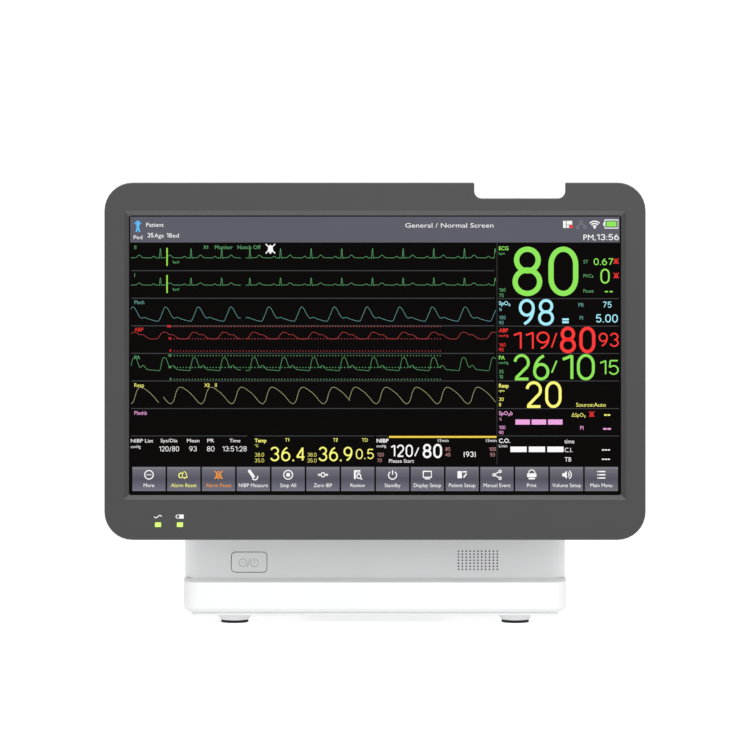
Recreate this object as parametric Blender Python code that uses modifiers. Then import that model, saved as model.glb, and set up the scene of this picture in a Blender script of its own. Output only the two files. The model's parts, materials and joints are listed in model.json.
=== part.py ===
"""Bedside patient monitor.

A wide touch display stands in front of a host box. The host rests on a base tray that reaches forward under
the display. Two measurement modules plug into the host's left side; a strip recorder and a battery bay are on
its right side; the mains and data connectors are at the back.

Units are metres. +Z is up, the screen faces -Y, and the origin is the middle of the footprint, on the floor.
"""

import math

import bmesh
import bpy
from mathutils import Vector

# ---------------------------------------------------------------- driving dimensions

GAP = 0.0003  # between pieces that rest on each other
PLAY = 0.0005  # round a piece that moves
CUT_PAST = 0.002  # how far a cutter runs past the wall it cuts

# Display
SCREEN_W = 0.4098
SCREEN_H = 0.2305
BEZEL_SIDE = 0.0211
BEZEL_TOP = 0.0290
BEZEL_BOTTOM = 0.0390
FRAME_D = 0.0220
FRAME_R = 0.0235
FRAME_EDGE_R = 0.0012
FRAME_FACE = 0.0035  # the frame's front wall
FRAME_WALL = 0.0026
CHAMFER_SIDE = 0.0042  # the slope round the screen, as seen from the front
CHAMFER_TOP = 0.0056
CHAMFER_BOTTOM = 0.0054
SCREEN_MARGIN = 0.0006  # dark edge between the slope and the picture
GLASS_OVERLAP = 0.0080  # glass behind the frame, each side
GASKET_T = 0.0007
GLASS_T = 0.0018
LCD_T = 0.0050
BACKLIGHT_T = 0.0080
COVER_D = 0.0217
COVER_EDGE_R = 0.0120
COVER_WALL = 0.0025
CHASSIS_T = 0.0015
CHASSIS_CORNER_R = 0.0040
CHASSIS_RIB = 0.0055  # how far the chassis's two ribs stand out behind it
RIB_W = 0.0060
RIB_FROM_EDGE = 0.0310

# Alarm lamp, in the top edge of the display
LAMP_W = 0.0768
LAMP_H = 0.0137
LAMP_R = 0.0067
LAMP_FROM_SIDE = 0.0667  # from the frame's right edge
LAMP_WALL = 0.0020
LAMP_LEDS = 6
LED_SIZE = 0.0030
LED_PITCH = 0.0100

# Status lights, low on the left of the frame
LIGHT_W = 0.0058
LIGHT_H = 0.0045
LIGHT_D = 0.0070
LIGHT_FROM_SIDE = 0.0448
LIGHT_PITCH = 0.0183
LIGHT_UP = 0.0128

# Host box
HOST_W = 0.3260
HOST_CORNER_R = 0.0180
HOST_EDGE_R = 0.0120
HOST_WALL = 0.0028
FRONT_SHELL_D = 0.0380
FASCIA_SHOWN = 0.0355  # height of the host's front that shows under the display
SIDE_MARGIN_FRONT = 0.0060  # from the seam to the side bays
SIDE_MARGIN_REAR = 0.0260
BAY_LOWEST = 0.0140  # from the host's foot to the lowest bays
BAY_SPACING = 0.0070
HOST_HEAD = 0.0400  # from the highest bays to the host's top
PORT_W = 0.1100  # opening through which the display joins the host
PORT_H = 0.0560
PORT_UP = 0.1450  # from the host's foot to the opening's middle

# Base
TRAY_H = 0.0251
TRAY_TAPER = 0.0040  # the tray's front is narrower than the host by this on each side
TRAY_FRONT_R = 0.0140
TRAY_SETBACK = 0.0020  # from the display's front to the tray's front
TRAY_CHAMFER = 0.0030
TRAY_WALL = 0.0030
BOTTOM_COVER_T = 0.0027
BOTTOM_INSET = 0.0058
FOOT_H = 0.0049
FOOT_TOP_R = 0.0150
FOOT_PAD_R = 0.0118
PAD_H = 0.0019
FOOT_FROM_SIDE = 0.0443
FOOT_FROM_FRONT = 0.0280
FOOT_FROM_REAR = 0.0300
MOUNT_PLATE = 0.1200
MOUNT_PLATE_T = 0.0020
MOUNT_PITCH = 0.1000
MOUNT_HOLE_R = 0.0022
MOUNT_CORNER_R = 0.0060
BASE_SLOTS = 5
BASE_SLOT_L = 0.0400
BASE_SLOT_X = 0.0950
WAIST_R = 0.0500  # where the base widens behind the display

# Power key and loudspeaker, in the host's front
KEY_W = 0.0301
KEY_H = 0.0170
KEY_R = 0.0030
KEY_T = 0.0050
KEY_TRAVEL = 0.0012
KEY_PLAY = 0.0004
KEY_FROM_SIDE = 0.0556  # from the host's side to the key's middle
KEY_UP = 0.0133  # above the host's foot
KEY_EDGE_R = 0.0004
KEY_STEM_R = 0.0025
KEY_STEM = 0.0020  # how far the stem stands out behind the key
SWITCH = 0.0080
SWITCH_H = 0.0035
SPEAKER_FROM_SIDE = 0.0752
SPEAKER_UP = 0.0149
SPEAKER_R = 0.0150
SPEAKER_D = 0.0140
CONE_D = 0.0040
GRILLE_COLUMNS = 11
GRILLE_ROWS = 7
GRILLE_PITCH_X = 0.00331
GRILLE_PITCH_Z = 0.00259
GRILLE_HOLE_R = 0.00078

# Measurement modules, left side
MODULE_W = 0.0720
MODULE_H = 0.1480
MODULE_D = 0.0950
AUX_H = 0.0420
MODULE_PROUD = 0.0020
MODULE_WALL = 0.0022
MODULE_R = 0.0030
MODULE_EDGE_R = 0.0010
LATCH_W = 0.0200
LATCH_H = 0.0070
LATCH_T = 0.0060
LATCH_TRAVEL = 0.0022
LATCH_UP = 0.0120  # from the module's foot to the middle of its catch
LATCH_EDGE_R = 0.0006
PUMP_R = 0.0110
PUMP_L = 0.0450
PUMP_IN = 0.0300  # from the module's face to the pump
PUMP_CLEAR = 0.0100

# Sockets in the modules' faces
COLUMN = 0.0160  # from the module's middle to each column of sockets
ROW = 0.0280
TOP_ROW_DOWN = 0.0200  # from the parameter module's top to its first row
AUX_ROW_DOWN = 0.0150
FLANGE_T = 0.0014
FLANGE_LIP = 0.0015  # the flange reaches this far past its hole
SOCKET_BACK = 0.0020
# name: flange radius, bore radius, bore depth, material, column, row
MODULE_SOCKETS = {
    "ecg_socket": (0.0115, 0.0075, 0.0110, "socket_green", -1, 0),
    "spo2_socket": (0.0100, 0.0062, 0.0110, "socket_blue", 1, 0),
    "ibp_socket_1": (0.0092, 0.0055, 0.0100, "socket_red", -1, 1),
    "ibp_socket_2": (0.0092, 0.0055, 0.0100, "socket_red", 1, 1),
    "temp_socket_1": (0.0070, 0.0036, 0.0100, "socket_brown", -1, 2),
    "temp_socket_2": (0.0070, 0.0036, 0.0100, "socket_brown", 1, 2),
}
AUX_SOCKETS = {
    "cardiac_output_socket": (0.0100, 0.0060, 0.0100, "socket_brown", -1, 0),
    "second_spo2_socket": (0.0100, 0.0062, 0.0110, "socket_blue", 1, 0),
}
NOZZLE_UP = 0.0400  # from the module's foot to the nozzle
NOZZLE_R = 0.0032
NOZZLE_BORE_R = 0.0015
NOZZLE_L = 0.0120
NOZZLE_BARB = 0.0006
NOZZLE_FLANGE_R = 0.0090
NOZZLE_FLANGE_T = 0.0020

# Recorder, right side
RECORDER_H = 0.0960
RECORDER_D = 0.0760
RECORDER_WALL = 0.0022
RECORDER_FACE = 0.0050
RECORDER_JAMB = 0.0040  # recorder face beside and under its door
DOOR_T = 0.0040
RECORDER_DOOR_H = 0.0640
STUB_R = 0.0012
STUB_L = 0.0020
PLATEN_R = 0.0050
PLATEN_DOWN = 0.0110  # roller's axis below the top of the door
PLATEN_SHAFT_R = 0.0016
EAR_T = 0.0022
HEAD_T = 0.0030
HEAD_H = 0.0140
PAPER_R = 0.0190
PAPER_W = 0.0500
PAPER_CORE_R = 0.0060
PAPER_CLEAR = 0.0040
EAR_H = 0.0090
EAR_MARGIN = 0.0015  # ear beyond the roller's shaft
RELEASE_W = 0.0260
RELEASE_H = 0.0100
RELEASE_T = 0.0080
RELEASE_PROUD = 0.0012
RELEASE_EDGE_R = 0.0008

# Battery, right side
BATTERY_DOOR_T = 0.0035
BATTERY_L = 0.1370
BATTERY_CLEAR = 0.0040
BATTERY_STUB_R = 0.0009
BATTERY_EDGE_R = 0.0020

# Rear connector panel
IO_W = 0.2080
IO_H = 0.0420
IO_D = 0.0100
IO_WALL = 0.0015
IO_SIDE = 0.0160  # from the panel's edge to the host's side
PORT_CLEAR = 0.0015  # from the connectors' inner ends to the side bays
# name: along from the panel's edge, width, height, mouth width, mouth height, mouth depth, proud, material
PORTS = {
    "mains_inlet": (0.0240, 0.0300, 0.0230, 0.0240, 0.0160, 0.0150, 0.0050, "black_plastic"),
    "network_port": (0.0920, 0.0160, 0.0140, 0.0118, 0.0082, 0.0120, 0.0012, "sheet_metal"),
    "usb_port": (0.1240, 0.0145, 0.0165, 0.0122, 0.0050, 0.0120, 0.0012, "sheet_metal"),
    "video_port": (0.1700, 0.0310, 0.0125, 0.0240, 0.0070, 0.0035, 0.0030, "sheet_metal"),
}
USB_MOUTH_PITCH = 0.0076
POST_ALONG = 0.0620
POST_R = 0.0030
POST_L = 0.0085
POST_WASHER_T = 0.0020
VENT_COUNT = 14
VENT_PITCH = 0.0080
VENT_W = 0.0030
VENT_H = 0.0460
VENT_FROM_TOP = 0.0260

# Inside
BOARD_T = 0.0016
BOARD_BEHIND = 0.0080  # from the host's front wall to the main board
CHASSIS_BEHIND = 0.0040  # from the host's front wall to its chassis
CHASSIS_MARGIN = 0.0150
BRACKET_CLEAR = 0.0050
MAIN_BOARD_W = 0.2000
MAIN_BOARD_H = 0.1200
CHIP_H = 0.0060
SINK_W = 0.1200
SINK_H = 0.0800
SINK_BASE = 0.0040
SINK_FIN = 0.0180
SINK_FIN_T = 0.0020
SINK_FINS = 11
SUPPLY_W = 0.1400
SUPPLY_H = 0.0300
SUPPLY_D = 0.0400
SUPPLY_BEHIND = 0.0260  # from the connector panel to the power supply
SUPPLY_BESIDE = 0.0100  # from the modules' inner ends to the power supply

# Handle
HANDLE_W = 0.1600
HANDLE_H = 0.0400
HANDLE_T = 0.0240
HANDLE_BAR = 0.0150
HANDLE_R = 0.0150
HANDLE_GRIP_R = 0.0035

# ---------------------------------------------------------------- worked out from them

FRAME_W = SCREEN_W + 2 * BEZEL_SIDE
FRAME_H = SCREEN_H + BEZEL_TOP + BEZEL_BOTTOM
REAR_SHELL_D = SIDE_MARGIN_FRONT + MODULE_W + SIDE_MARGIN_REAR
DEPTH = FRAME_D + GAP + COVER_D + GAP + FRONT_SHELL_D + GAP + REAR_SHELL_D

FRONT_Y = -DEPTH / 2
FRAME_BACK_Y = FRONT_Y + FRAME_D
DISPLAY_BACK_Y = FRAME_BACK_Y + GAP + COVER_D
HOST_FRONT_Y = DISPLAY_BACK_Y + GAP
SEAM_Y = HOST_FRONT_Y + FRONT_SHELL_D
REAR_Y = DEPTH / 2
BAY_Y = SEAM_Y + GAP + SIDE_MARGIN_FRONT + MODULE_W / 2  # middle of the side bays
HALF_HOST = HOST_W / 2
KEY_X = KEY_FROM_SIDE - HALF_HOST
SPEAKER_X = HALF_HOST - SPEAKER_FROM_SIDE
MODULE_END_X = MODULE_D - MODULE_PROUD - HALF_HOST

FOOT_Z = PAD_H + GAP
BOTTOM_Z = FOOT_Z + FOOT_H + GAP
TRAY_Z = BOTTOM_Z + BOTTOM_COVER_T + GAP
TRAY_TOP = TRAY_Z + TRAY_H
HOST_Z = TRAY_TOP + GAP
FRAME_Z = TRAY_TOP + FASCIA_SHOWN
SCREEN_Z = FRAME_Z + BEZEL_BOTTOM + SCREEN_H / 2  # middle of the screen
FRAME_MID_Z = FRAME_Z + FRAME_H / 2
FRAME_TOP = FRAME_Z + FRAME_H
LAMP_X = FRAME_W / 2 - LAMP_FROM_SIDE - LAMP_W / 2
LAMP_D = FRAME_D + GAP + COVER_D - COVER_EDGE_R

LOW_BAY_Z = HOST_Z + BAY_LOWEST + AUX_H / 2  # middle of the lowest bays
MODULE_Z = LOW_BAY_Z + AUX_H / 2 + BAY_SPACING + MODULE_H / 2
HOST_TOP = MODULE_Z + MODULE_H / 2 + HOST_HEAD
HOST_H = HOST_TOP - HOST_Z
RECORDER_Z = MODULE_Z + (MODULE_H - RECORDER_H) / 2
PORT_Z = HOST_Z + PORT_UP
IO_Z = MODULE_Z - MODULE_H / 2 + IO_H / 2
IO_X = HALF_HOST - IO_SIDE - IO_W / 2
TRAY_FRONT_Y = FRONT_Y + TRAY_SETBACK
BATTERY_HINGE = Vector(
    (HALF_HOST - BATTERY_DOOR_T / 2, BAY_Y, LOW_BAY_Z - AUX_H / 2 + BATTERY_DOOR_T / 2)
)

TURN_STEPS = 16
CORNER_STEPS = 8

# How a piece is turned so that its own +Z looks out of that side of the monitor
FACES = {
    "front": (math.pi / 2, 0, 0),
    "left": (math.pi / 2, 0, -math.pi / 2),
    "right": (math.pi / 2, 0, math.pi / 2),
    "rear": (math.pi / 2, 0, math.pi),
    "top": (0, 0, 0),
    "bottom": (math.pi, 0, 0),
}

# name: colour, roughness, metallic
FINISHES = {
    "charcoal_plastic": ((0.09, 0.09, 0.09), 0.45, 0),
    "white_plastic": ((0.80, 0.81, 0.82), 0.40, 0),
    "grey_plastic": ((0.45, 0.46, 0.48), 0.45, 0),
    "black_plastic": ((0.02, 0.02, 0.02), 0.50, 0),
    "lamp_lens": ((0.88, 0.88, 0.86), 0.25, 0),
    "green_lens": ((0.50, 0.85, 0.20), 0.30, 0),
    "glass": ((0.02, 0.02, 0.03), 0.05, 0),
    "panel_black": ((0.01, 0.01, 0.01), 0.30, 0),
    "rubber": ((0.03, 0.03, 0.03), 0.80, 0),
    "sheet_metal": ((0.60, 0.61, 0.62), 0.40, 1),
    "board_green": ((0.05, 0.25, 0.12), 0.50, 0),
    "brass": ((0.80, 0.62, 0.30), 0.35, 1),
    "paper": ((0.92, 0.92, 0.90), 0.90, 0),
    "battery_wrap": ((0.10, 0.12, 0.16), 0.50, 0),
    "socket_green": ((0.10, 0.45, 0.30), 0.45, 0),
    "socket_blue": ((0.10, 0.25, 0.60), 0.45, 0),
    "socket_red": ((0.60, 0.10, 0.10), 0.45, 0),
    "socket_brown": ((0.35, 0.20, 0.10), 0.45, 0),
}


# ---------------------------------------------------------------- tools


def clear_scene():
    for obj in list(bpy.data.objects):
        bpy.data.objects.remove(obj)


def new_collection(name):
    made = bpy.data.collections.new(name)
    bpy.context.scene.collection.children.link(made)
    return made


def finish(name):
    """The material of that name, made once."""
    found = bpy.data.materials.get(name)
    if found:
        return found
    colour, roughness, metallic = FINISHES[name]
    made = bpy.data.materials.new(name)
    made.use_nodes = True
    shader = made.node_tree.nodes["Principled BSDF"]
    shader.inputs["Base Color"].default_value = (*colour, 1)
    shader.inputs["Roughness"].default_value = roughness
    shader.inputs["Metallic"].default_value = metallic
    return made


def world_place(empty):
    """Where an empty is, when each of its parents is only moved and not turned."""
    place_so_far = Vector()
    while empty:
        place_so_far += empty.location
        empty = empty.parent
    return place_so_far


def place(obj, face, at, parent=None):
    """Turns the object to that side and puts its origin at a world point."""
    obj.rotation_euler = FACES[face]
    obj.location = Vector(at) - world_place(parent)
    obj.parent = parent


def add(name, bm, material, face="top", at=(0, 0, 0), parent=None):
    """A part from a bmesh. With no material it is a helper: a cutter, or a shape that is joined to another."""
    bmesh.ops.recalc_face_normals(bm, faces=bm.faces)
    mesh = bpy.data.meshes.new(name)
    bm.to_mesh(mesh)
    bm.free()
    obj = bpy.data.objects.new(name, mesh)
    place(obj, face, at, parent)
    if material:
        mesh.materials.append(finish(material))
        PARTS.objects.link(obj)
    else:
        obj.hide_render = True
        obj.display_type = "WIRE"
        HELPERS.objects.link(obj)
    return obj


def joint_axis(name, at, parent=None):
    """An empty on a joint's axis, which carries what moves on it."""
    empty = bpy.data.objects.new(name, None)
    empty.location = Vector(at) - world_place(parent)
    empty.parent = parent
    PARTS.objects.link(empty)
    return empty


def boolean(target, helper, operation):
    modifier = target.modifiers.new(f"{operation.lower()} {helper.name}", "BOOLEAN")
    modifier.operation = operation
    modifier.solver = "EXACT"
    modifier.object = helper
    return target


def cut(target, helper):
    return boolean(target, helper, "DIFFERENCE")


def join(target, helper):
    return boolean(target, helper, "UNION")


def rounded(corners, steps=CORNER_STEPS):
    """Points round a convex outline, anticlockwise. Each corner is (x, y, radius)."""
    points = []
    for i, (x, y, radius) in enumerate(corners):
        here = Vector((x, y))
        before = (Vector(corners[i - 1][:2]) - here).normalized()
        after = (Vector(corners[(i + 1) % len(corners)][:2]) - here).normalized()
        if radius <= 0:
            points.append(here)
            continue
        half = before.angle(after) / 2
        centre = here + (before + after).normalized() * radius / math.sin(half)
        start = here + before * radius / math.tan(half) - centre
        turn = math.pi - 2 * half
        count = max(1, round(steps * turn / (math.pi / 2)))
        for k in range(count + 1):
            angle = turn * k / count
            cos, sin = math.cos(angle), math.sin(angle)
            points.append(centre + Vector((start.x * cos - start.y * sin, start.x * sin + start.y * cos)))
    return points


def rectangle(width, height, radius=0, middle=(0, 0), steps=CORNER_STEPS):
    x, y = middle
    half_w, half_h = width / 2, height / 2
    corners = [
        (x - half_w, y - half_h, radius),
        (x + half_w, y - half_h, radius),
        (x + half_w, y + half_h, radius),
        (x - half_w, y + half_h, radius),
    ]
    return rounded(corners, steps)


def rim_edges(bm, z, skip=None):
    """The edges that lie at that height, apart from those whose ends both pass skip."""
    level = [e for e in bm.edges if all(abs(v.co.z - z) < 1e-7 for v in e.verts)]
    return [e for e in level if not (skip and all(skip(v.co) for v in e.verts))]


def slab_mesh(outline, depth, front_r=0, back_r=0, steps=3, skip=None):
    """An outline in XY, with its front at z 0, its back at -depth and its rims rounded."""
    bm = bmesh.new()
    face = bm.faces.new([bm.verts.new((x, y, -depth)) for x, y in outline])
    grown = bmesh.ops.extrude_face_region(bm, geom=[face])["geom"]
    bmesh.ops.translate(bm, verts=[g for g in grown if isinstance(g, bmesh.types.BMVert)], vec=(0, 0, depth))
    bmesh.ops.recalc_face_normals(bm, faces=bm.faces)
    for radius, z in ((front_r, 0), (back_r, -depth)):
        if radius > 0:
            bmesh.ops.bevel(
                bm, geom=rim_edges(bm, z, skip), offset=radius, segments=steps, profile=0.5, affect="EDGES"
            )
    return bm


def slab(name, outline, depth, material, face, at, parent=None, **rims):
    return add(name, slab_mesh(outline, depth, **rims), material, face, at, parent)


def open_shell(
    name, outline, depth, wall, material, face, at, parent=None, open_back=True, open_foot=False, **rims
):
    """A slab made into a shell: its back or front is open, and its foot too if that is asked for."""
    bm = slab_mesh(outline, depth, **rims)
    open_z = -depth if open_back else 0
    foot = min(v.co.y for v in bm.verts)
    unwanted = [
        f
        for f in bm.faces
        if all(abs(v.co.z - open_z) < 1e-7 for v in f.verts)
        or (open_foot and all(abs(v.co.y - foot) < 1e-7 for v in f.verts))
    ]
    bmesh.ops.delete(bm, geom=unwanted, context="FACES")
    mesh = bpy.data.meshes.new(name)
    bm.to_mesh(mesh)
    bm.free()
    obj = bpy.data.objects.new(name, mesh)
    mesh.materials.append(finish(material))
    PARTS.objects.link(obj)
    place(obj, face, at, parent)
    solidify = obj.modifiers.new("wall", "SOLIDIFY")
    solidify.thickness = wall
    solidify.offset = -1
    solidify.use_even_offset = True
    return obj


def box_mesh(bm, size, middle):
    made = bmesh.ops.create_cube(bm, size=1)["verts"]
    bmesh.ops.scale(bm, verts=made, vec=size)
    bmesh.ops.translate(bm, verts=made, vec=middle)


def boxes(name, items, material, face, at, parent=None):
    """Boxes in one object; each item is (size, middle) in the face's own axes."""
    bm = bmesh.new()
    for size, middle in items:
        box_mesh(bm, size, middle)
    return add(name, bm, material, face, at, parent)


def box(name, size, material, face, at, parent=None, edge_r=0):
    """A box whose front face's middle is at that point."""
    obj = boxes(name, [(size, (0, 0, -size[2] / 2))], material, face, at, parent)
    if edge_r:
        bevel = obj.modifiers.new("edges", "BEVEL")
        bevel.width = edge_r
        bevel.segments = 2
    return obj


def cylinder(name, radius, length, material, face, at, parent=None, top_r=None, steps=TURN_STEPS):
    """A cylinder or cone whose front end's middle is at that point."""
    bm = bmesh.new()
    made = bmesh.ops.create_cone(
        bm,
        cap_ends=True,
        segments=steps,
        radius1=radius,
        radius2=radius if top_r is None else top_r,
        depth=length,
    )["verts"]
    bmesh.ops.translate(bm, verts=made, vec=(0, 0, -length / 2))
    return add(name, bm, material, face, at, parent)


def rods(name, places, radius, depth, face, at, parent=None, steps=12):
    """Rods whose middles are at those places, to cut round holes or to add stubs."""
    bm = bmesh.new()
    for x, y in places:
        sizes = {"radius1": radius, "radius2": radius, "depth": depth}
        rod = bmesh.ops.create_cone(bm, cap_ends=True, segments=steps, **sizes)
        bmesh.ops.translate(bm, verts=rod["verts"], vec=(x, y, 0))
    return add(name, bm, None, face, at, parent)


def turned(name, profile, material, face, at, parent=None, steps=TURN_STEPS):
    """A turned piece. The profile is (radius, height) points that run up the bore and down the outside."""
    mesh = bpy.data.meshes.new(name)
    edges = [(i, i + 1) for i in range(len(profile) - 1)]
    if profile[0][0] > 0:
        edges.append((len(profile) - 1, 0))
    mesh.from_pydata([(radius, 0, height) for radius, height in profile], edges, [])
    mesh.materials.append(finish(material))
    obj = bpy.data.objects.new(name, mesh)
    PARTS.objects.link(obj)
    place(obj, face, at, parent)
    screw = obj.modifiers.new("turn", "SCREW")
    screw.axis = "Z"
    screw.steps = steps
    screw.render_steps = steps
    screw.use_merge_vertices = True
    screw.merge_threshold = 1e-5
    return obj


# ---------------------------------------------------------------- display


def window_cutter(name):
    """The screen's opening, wider at the front than at the back by the slope round the screen."""
    width, height = SCREEN_W + 2 * SCREEN_MARGIN, SCREEN_H + 2 * SCREEN_MARGIN
    bm = slab_mesh(rectangle(width, height, 0.0015, steps=2), FRAME_FACE)
    front_w = width + 2 * CHAMFER_SIDE
    front_h = height + CHAMFER_TOP + CHAMFER_BOTTOM
    for vert in [v for v in bm.verts if v.co.z > -FRAME_FACE / 2]:
        vert.co.x *= front_w / width
        vert.co.y = vert.co.y * front_h / height + (CHAMFER_TOP - CHAMFER_BOTTOM) / 2
    # Run both ends past the wall along the same slope, so that the cut has no face on the wall's own faces
    past = CUT_PAST / FRAME_FACE
    for vert in bm.verts:
        front = vert.co.z > -FRAME_FACE / 2
        grow = 1 + (past * (front_w / width - 1) if front else -past * (front_w / width - 1))
        vert.co.x *= grow
        vert.co.y *= grow
        vert.co.z += CUT_PAST if front else -CUT_PAST
    return add(name, bm, None, "front", (0, FRONT_Y, SCREEN_Z))


def lamp_outline(clear):
    """The lamp's front shape: square at the top, round below, smaller than its notch by clear."""
    half = LAMP_W / 2 - clear
    radius = LAMP_R - clear
    return [(-half, clear - LAMP_H, radius), (half, clear - LAMP_H, radius), (half, 0, 0), (-half, 0, 0)]


def lamp_cutter(name):
    corners = lamp_outline(0)
    raised = [(x, y if radius else y + CUT_PAST, radius) for x, y, radius in corners]
    depth = CUT_PAST + LAMP_D + GAP
    return slab(name, rounded(raised), depth, None, "front", (LAMP_X, FRONT_Y - CUT_PAST, FRAME_TOP))


def light_x(index):
    return -FRAME_W / 2 + LIGHT_FROM_SIDE + index * LIGHT_PITCH


def front_frame():
    frame = slab(
        "front_frame",
        rectangle(FRAME_W, FRAME_H, FRAME_R),
        FRAME_D,
        "charcoal_plastic",
        "front",
        (0, FRONT_Y, FRAME_MID_Z),
        front_r=FRAME_EDGE_R,
        steps=2,
    )
    cut(frame, window_cutter("screen_window"))
    cut(frame, lamp_cutter("lamp_notch_in_frame"))
    pocket_w, pocket_h = SCREEN_W + 2 * GLASS_OVERLAP + 4 * GAP, SCREEN_H + 2 * GLASS_OVERLAP + 4 * GAP
    pocket = ((pocket_w, pocket_h, FRAME_D), (0, 0, 0))
    foot_h = BEZEL_BOTTOM - GLASS_OVERLAP - 2 * FRAME_WALL - 2 * GAP
    foot_middle = -SCREEN_H / 2 - BEZEL_BOTTOM + FRAME_WALL + foot_h / 2
    hollow = ((FRAME_W - 2 * FRAME_R, foot_h, FRAME_D), (0, foot_middle, 0))
    behind_face = (0, FRONT_Y + FRAME_FACE + FRAME_D / 2, SCREEN_Z)
    cut(frame, boxes("screen_pocket", [pocket, hollow], None, "front", behind_face))
    lights = [((LIGHT_W, LIGHT_H, 4 * FRAME_FACE), (light_x(i), 0, 0)) for i in range(2)]
    cut(frame, boxes("light_windows", lights, None, "front", (0, FRONT_Y, FRAME_Z + LIGHT_UP)))


def display_stack():
    """Gasket, glass, panel and backlight, each behind the other in the frame's pocket."""
    width, height = SCREEN_W + 2 * GLASS_OVERLAP, SCREEN_H + 2 * GLASS_OVERLAP
    y = FRONT_Y + FRAME_FACE + GAP
    gasket = slab("glass_gasket", rectangle(width, height), GASKET_T, "rubber", "front", (0, y, SCREEN_Z))
    inner = rectangle(width - GLASS_OVERLAP, height - GLASS_OVERLAP)
    cut(gasket, slab("gasket_opening", inner, 4 * GASKET_T, None, "front", (0, y - GASKET_T, SCREEN_Z)))
    y += GASKET_T + GAP
    layers = (
        ("touch_glass", GLASS_T, "glass", GAP),
        ("lcd_panel", LCD_T, "panel_black", GAP),
        ("backlight_tray", BACKLIGHT_T, "sheet_metal", GAP),
    )
    for name, thickness, material, gap in layers:
        slab(name, rectangle(width, height, 0.001, steps=1), thickness, material, "front", (0, y, SCREEN_Z))
        y += thickness + gap


def alarm_lamp():
    at = (LAMP_X, FRONT_Y, FRAME_TOP)
    outline = rounded(lamp_outline(GAP))
    lens = slab("alarm_lamp_lens", outline, LAMP_D, "lamp_lens", "front", at, front_r=FRAME_EDGE_R, steps=2)
    wall = LAMP_WALL
    room = (LAMP_W - 2 * GAP - 2 * wall, LAMP_H - GAP - 2 * wall)
    inside = rectangle(*room, LAMP_R - wall, middle=(0, (GAP - LAMP_H) / 2))
    cut(lens, slab("lamp_hollow", inside, LAMP_D, None, "front", (LAMP_X, FRONT_Y + wall, FRAME_TOP)))
    board_at = (LAMP_X, FRONT_Y + 2 * wall, FRAME_TOP - LAMP_H / 2)
    board = box("alarm_lamp_board", (LAMP_W - 8 * wall, BOARD_T, LAMP_D / 2), "board_green", "front", board_at)
    middle = (LAMP_LEDS - 1) / 2
    size = (LED_SIZE, LED_SIZE / 2, LED_SIZE)
    leds = [(size, ((i - middle) * LED_PITCH, LED_SIZE / 2, -LAMP_D / 4)) for i in range(LAMP_LEDS)]
    join(board, boxes("lamp_leds", leds, None, "front", board_at))


def status_lights():
    for index, name in enumerate(("status_light_mains", "status_light_battery")):
        size = (LIGHT_W - 2 * GAP, LIGHT_H - 2 * GAP, LIGHT_D)
        box(name, size, "green_lens", "front", (light_x(index), FRONT_Y, FRAME_Z + LIGHT_UP))


def display_rear():
    cover = open_shell(
        "display_rear_cover",
        rectangle(FRAME_W - 2 * GAP, FRAME_H - 2 * GAP, FRAME_R - GAP),
        COVER_D,
        COVER_WALL,
        "white_plastic",
        "front",
        (0, FRAME_BACK_Y + GAP, FRAME_MID_Z),
        open_back=False,
        back_r=COVER_EDGE_R,
        steps=5,
    )
    cut(cover, lamp_cutter("lamp_notch_in_cover"))
    port = (0, DISPLAY_BACK_Y, PORT_Z)
    cut(cover, boxes("cover_port", [((PORT_W, PORT_H, 2 * COVER_EDGE_R), (0, 0, 0))], None, "front", port))
    chassis_w = SCREEN_W + GLASS_OVERLAP
    chassis_h = SCREEN_H - GLASS_OVERLAP
    y = FRAME_BACK_Y + 2 * GAP
    at = (0, y, SCREEN_Z)
    outline = rectangle(chassis_w, chassis_h, CHASSIS_CORNER_R, steps=2)
    chassis = slab("display_chassis", outline, CHASSIS_T, "sheet_metal", "front", at)
    rib = (chassis_w - 2 * RIB_FROM_EDGE, RIB_W, CHASSIS_RIB + CHASSIS_T / 2)
    rib_y = chassis_h / 2 - RIB_FROM_EDGE
    ribs = [(rib, (0, side * rib_y, -CHASSIS_T / 2 - rib[2] / 2)) for side in (-1, 1)]
    join(chassis, boxes("chassis_ribs", ribs, None, "front", at))


# ---------------------------------------------------------------- host box


def host_outline():
    half = HOST_H / 2
    corners = [
        (-HALF_HOST, -half, 0),
        (HALF_HOST, -half, 0),
        (HALF_HOST, half, HOST_CORNER_R),
        (-HALF_HOST, half, HOST_CORNER_R),
    ]
    return rounded(corners)


def at_foot(co):
    return abs(co.y + HOST_H / 2) < 1e-7


def host_front():
    shell = open_shell(
        "host_front_shell",
        host_outline(),
        FRONT_SHELL_D,
        HOST_WALL,
        "white_plastic",
        "front",
        (0, HOST_FRONT_Y, HOST_Z + HOST_H / 2),
        open_foot=True,
        front_r=HOST_EDGE_R,
        steps=6,
        skip=at_foot,
    )
    port = (0, HOST_FRONT_Y, PORT_Z)
    cut(shell, boxes("host_port", [((PORT_W, PORT_H, 4 * HOST_WALL), (0, 0, 0))], None, "front", port))
    key_hole = rectangle(KEY_W + 2 * KEY_PLAY, KEY_H + 2 * KEY_PLAY, KEY_R + KEY_PLAY, steps=3)
    before = HOST_FRONT_Y - CUT_PAST
    through = HOST_WALL + 2 * CUT_PAST
    cut(shell, slab("key_hole", key_hole, through, None, "front", (KEY_X, before, HOST_Z + KEY_UP)))
    columns = [(i - (GRILLE_COLUMNS - 1) / 2) * GRILLE_PITCH_X for i in range(GRILLE_COLUMNS)]
    rows = [(i - (GRILLE_ROWS - 1) / 2) * GRILLE_PITCH_Z for i in range(GRILLE_ROWS)]
    places = [(x, z) for x in columns for z in rows]
    grille_at = (SPEAKER_X, HOST_FRONT_Y, HOST_Z + SPEAKER_UP)
    cut(shell, rods("grille_holes", places, GRILLE_HOLE_R, 2 * through, "front", grille_at, steps=6))


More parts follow.
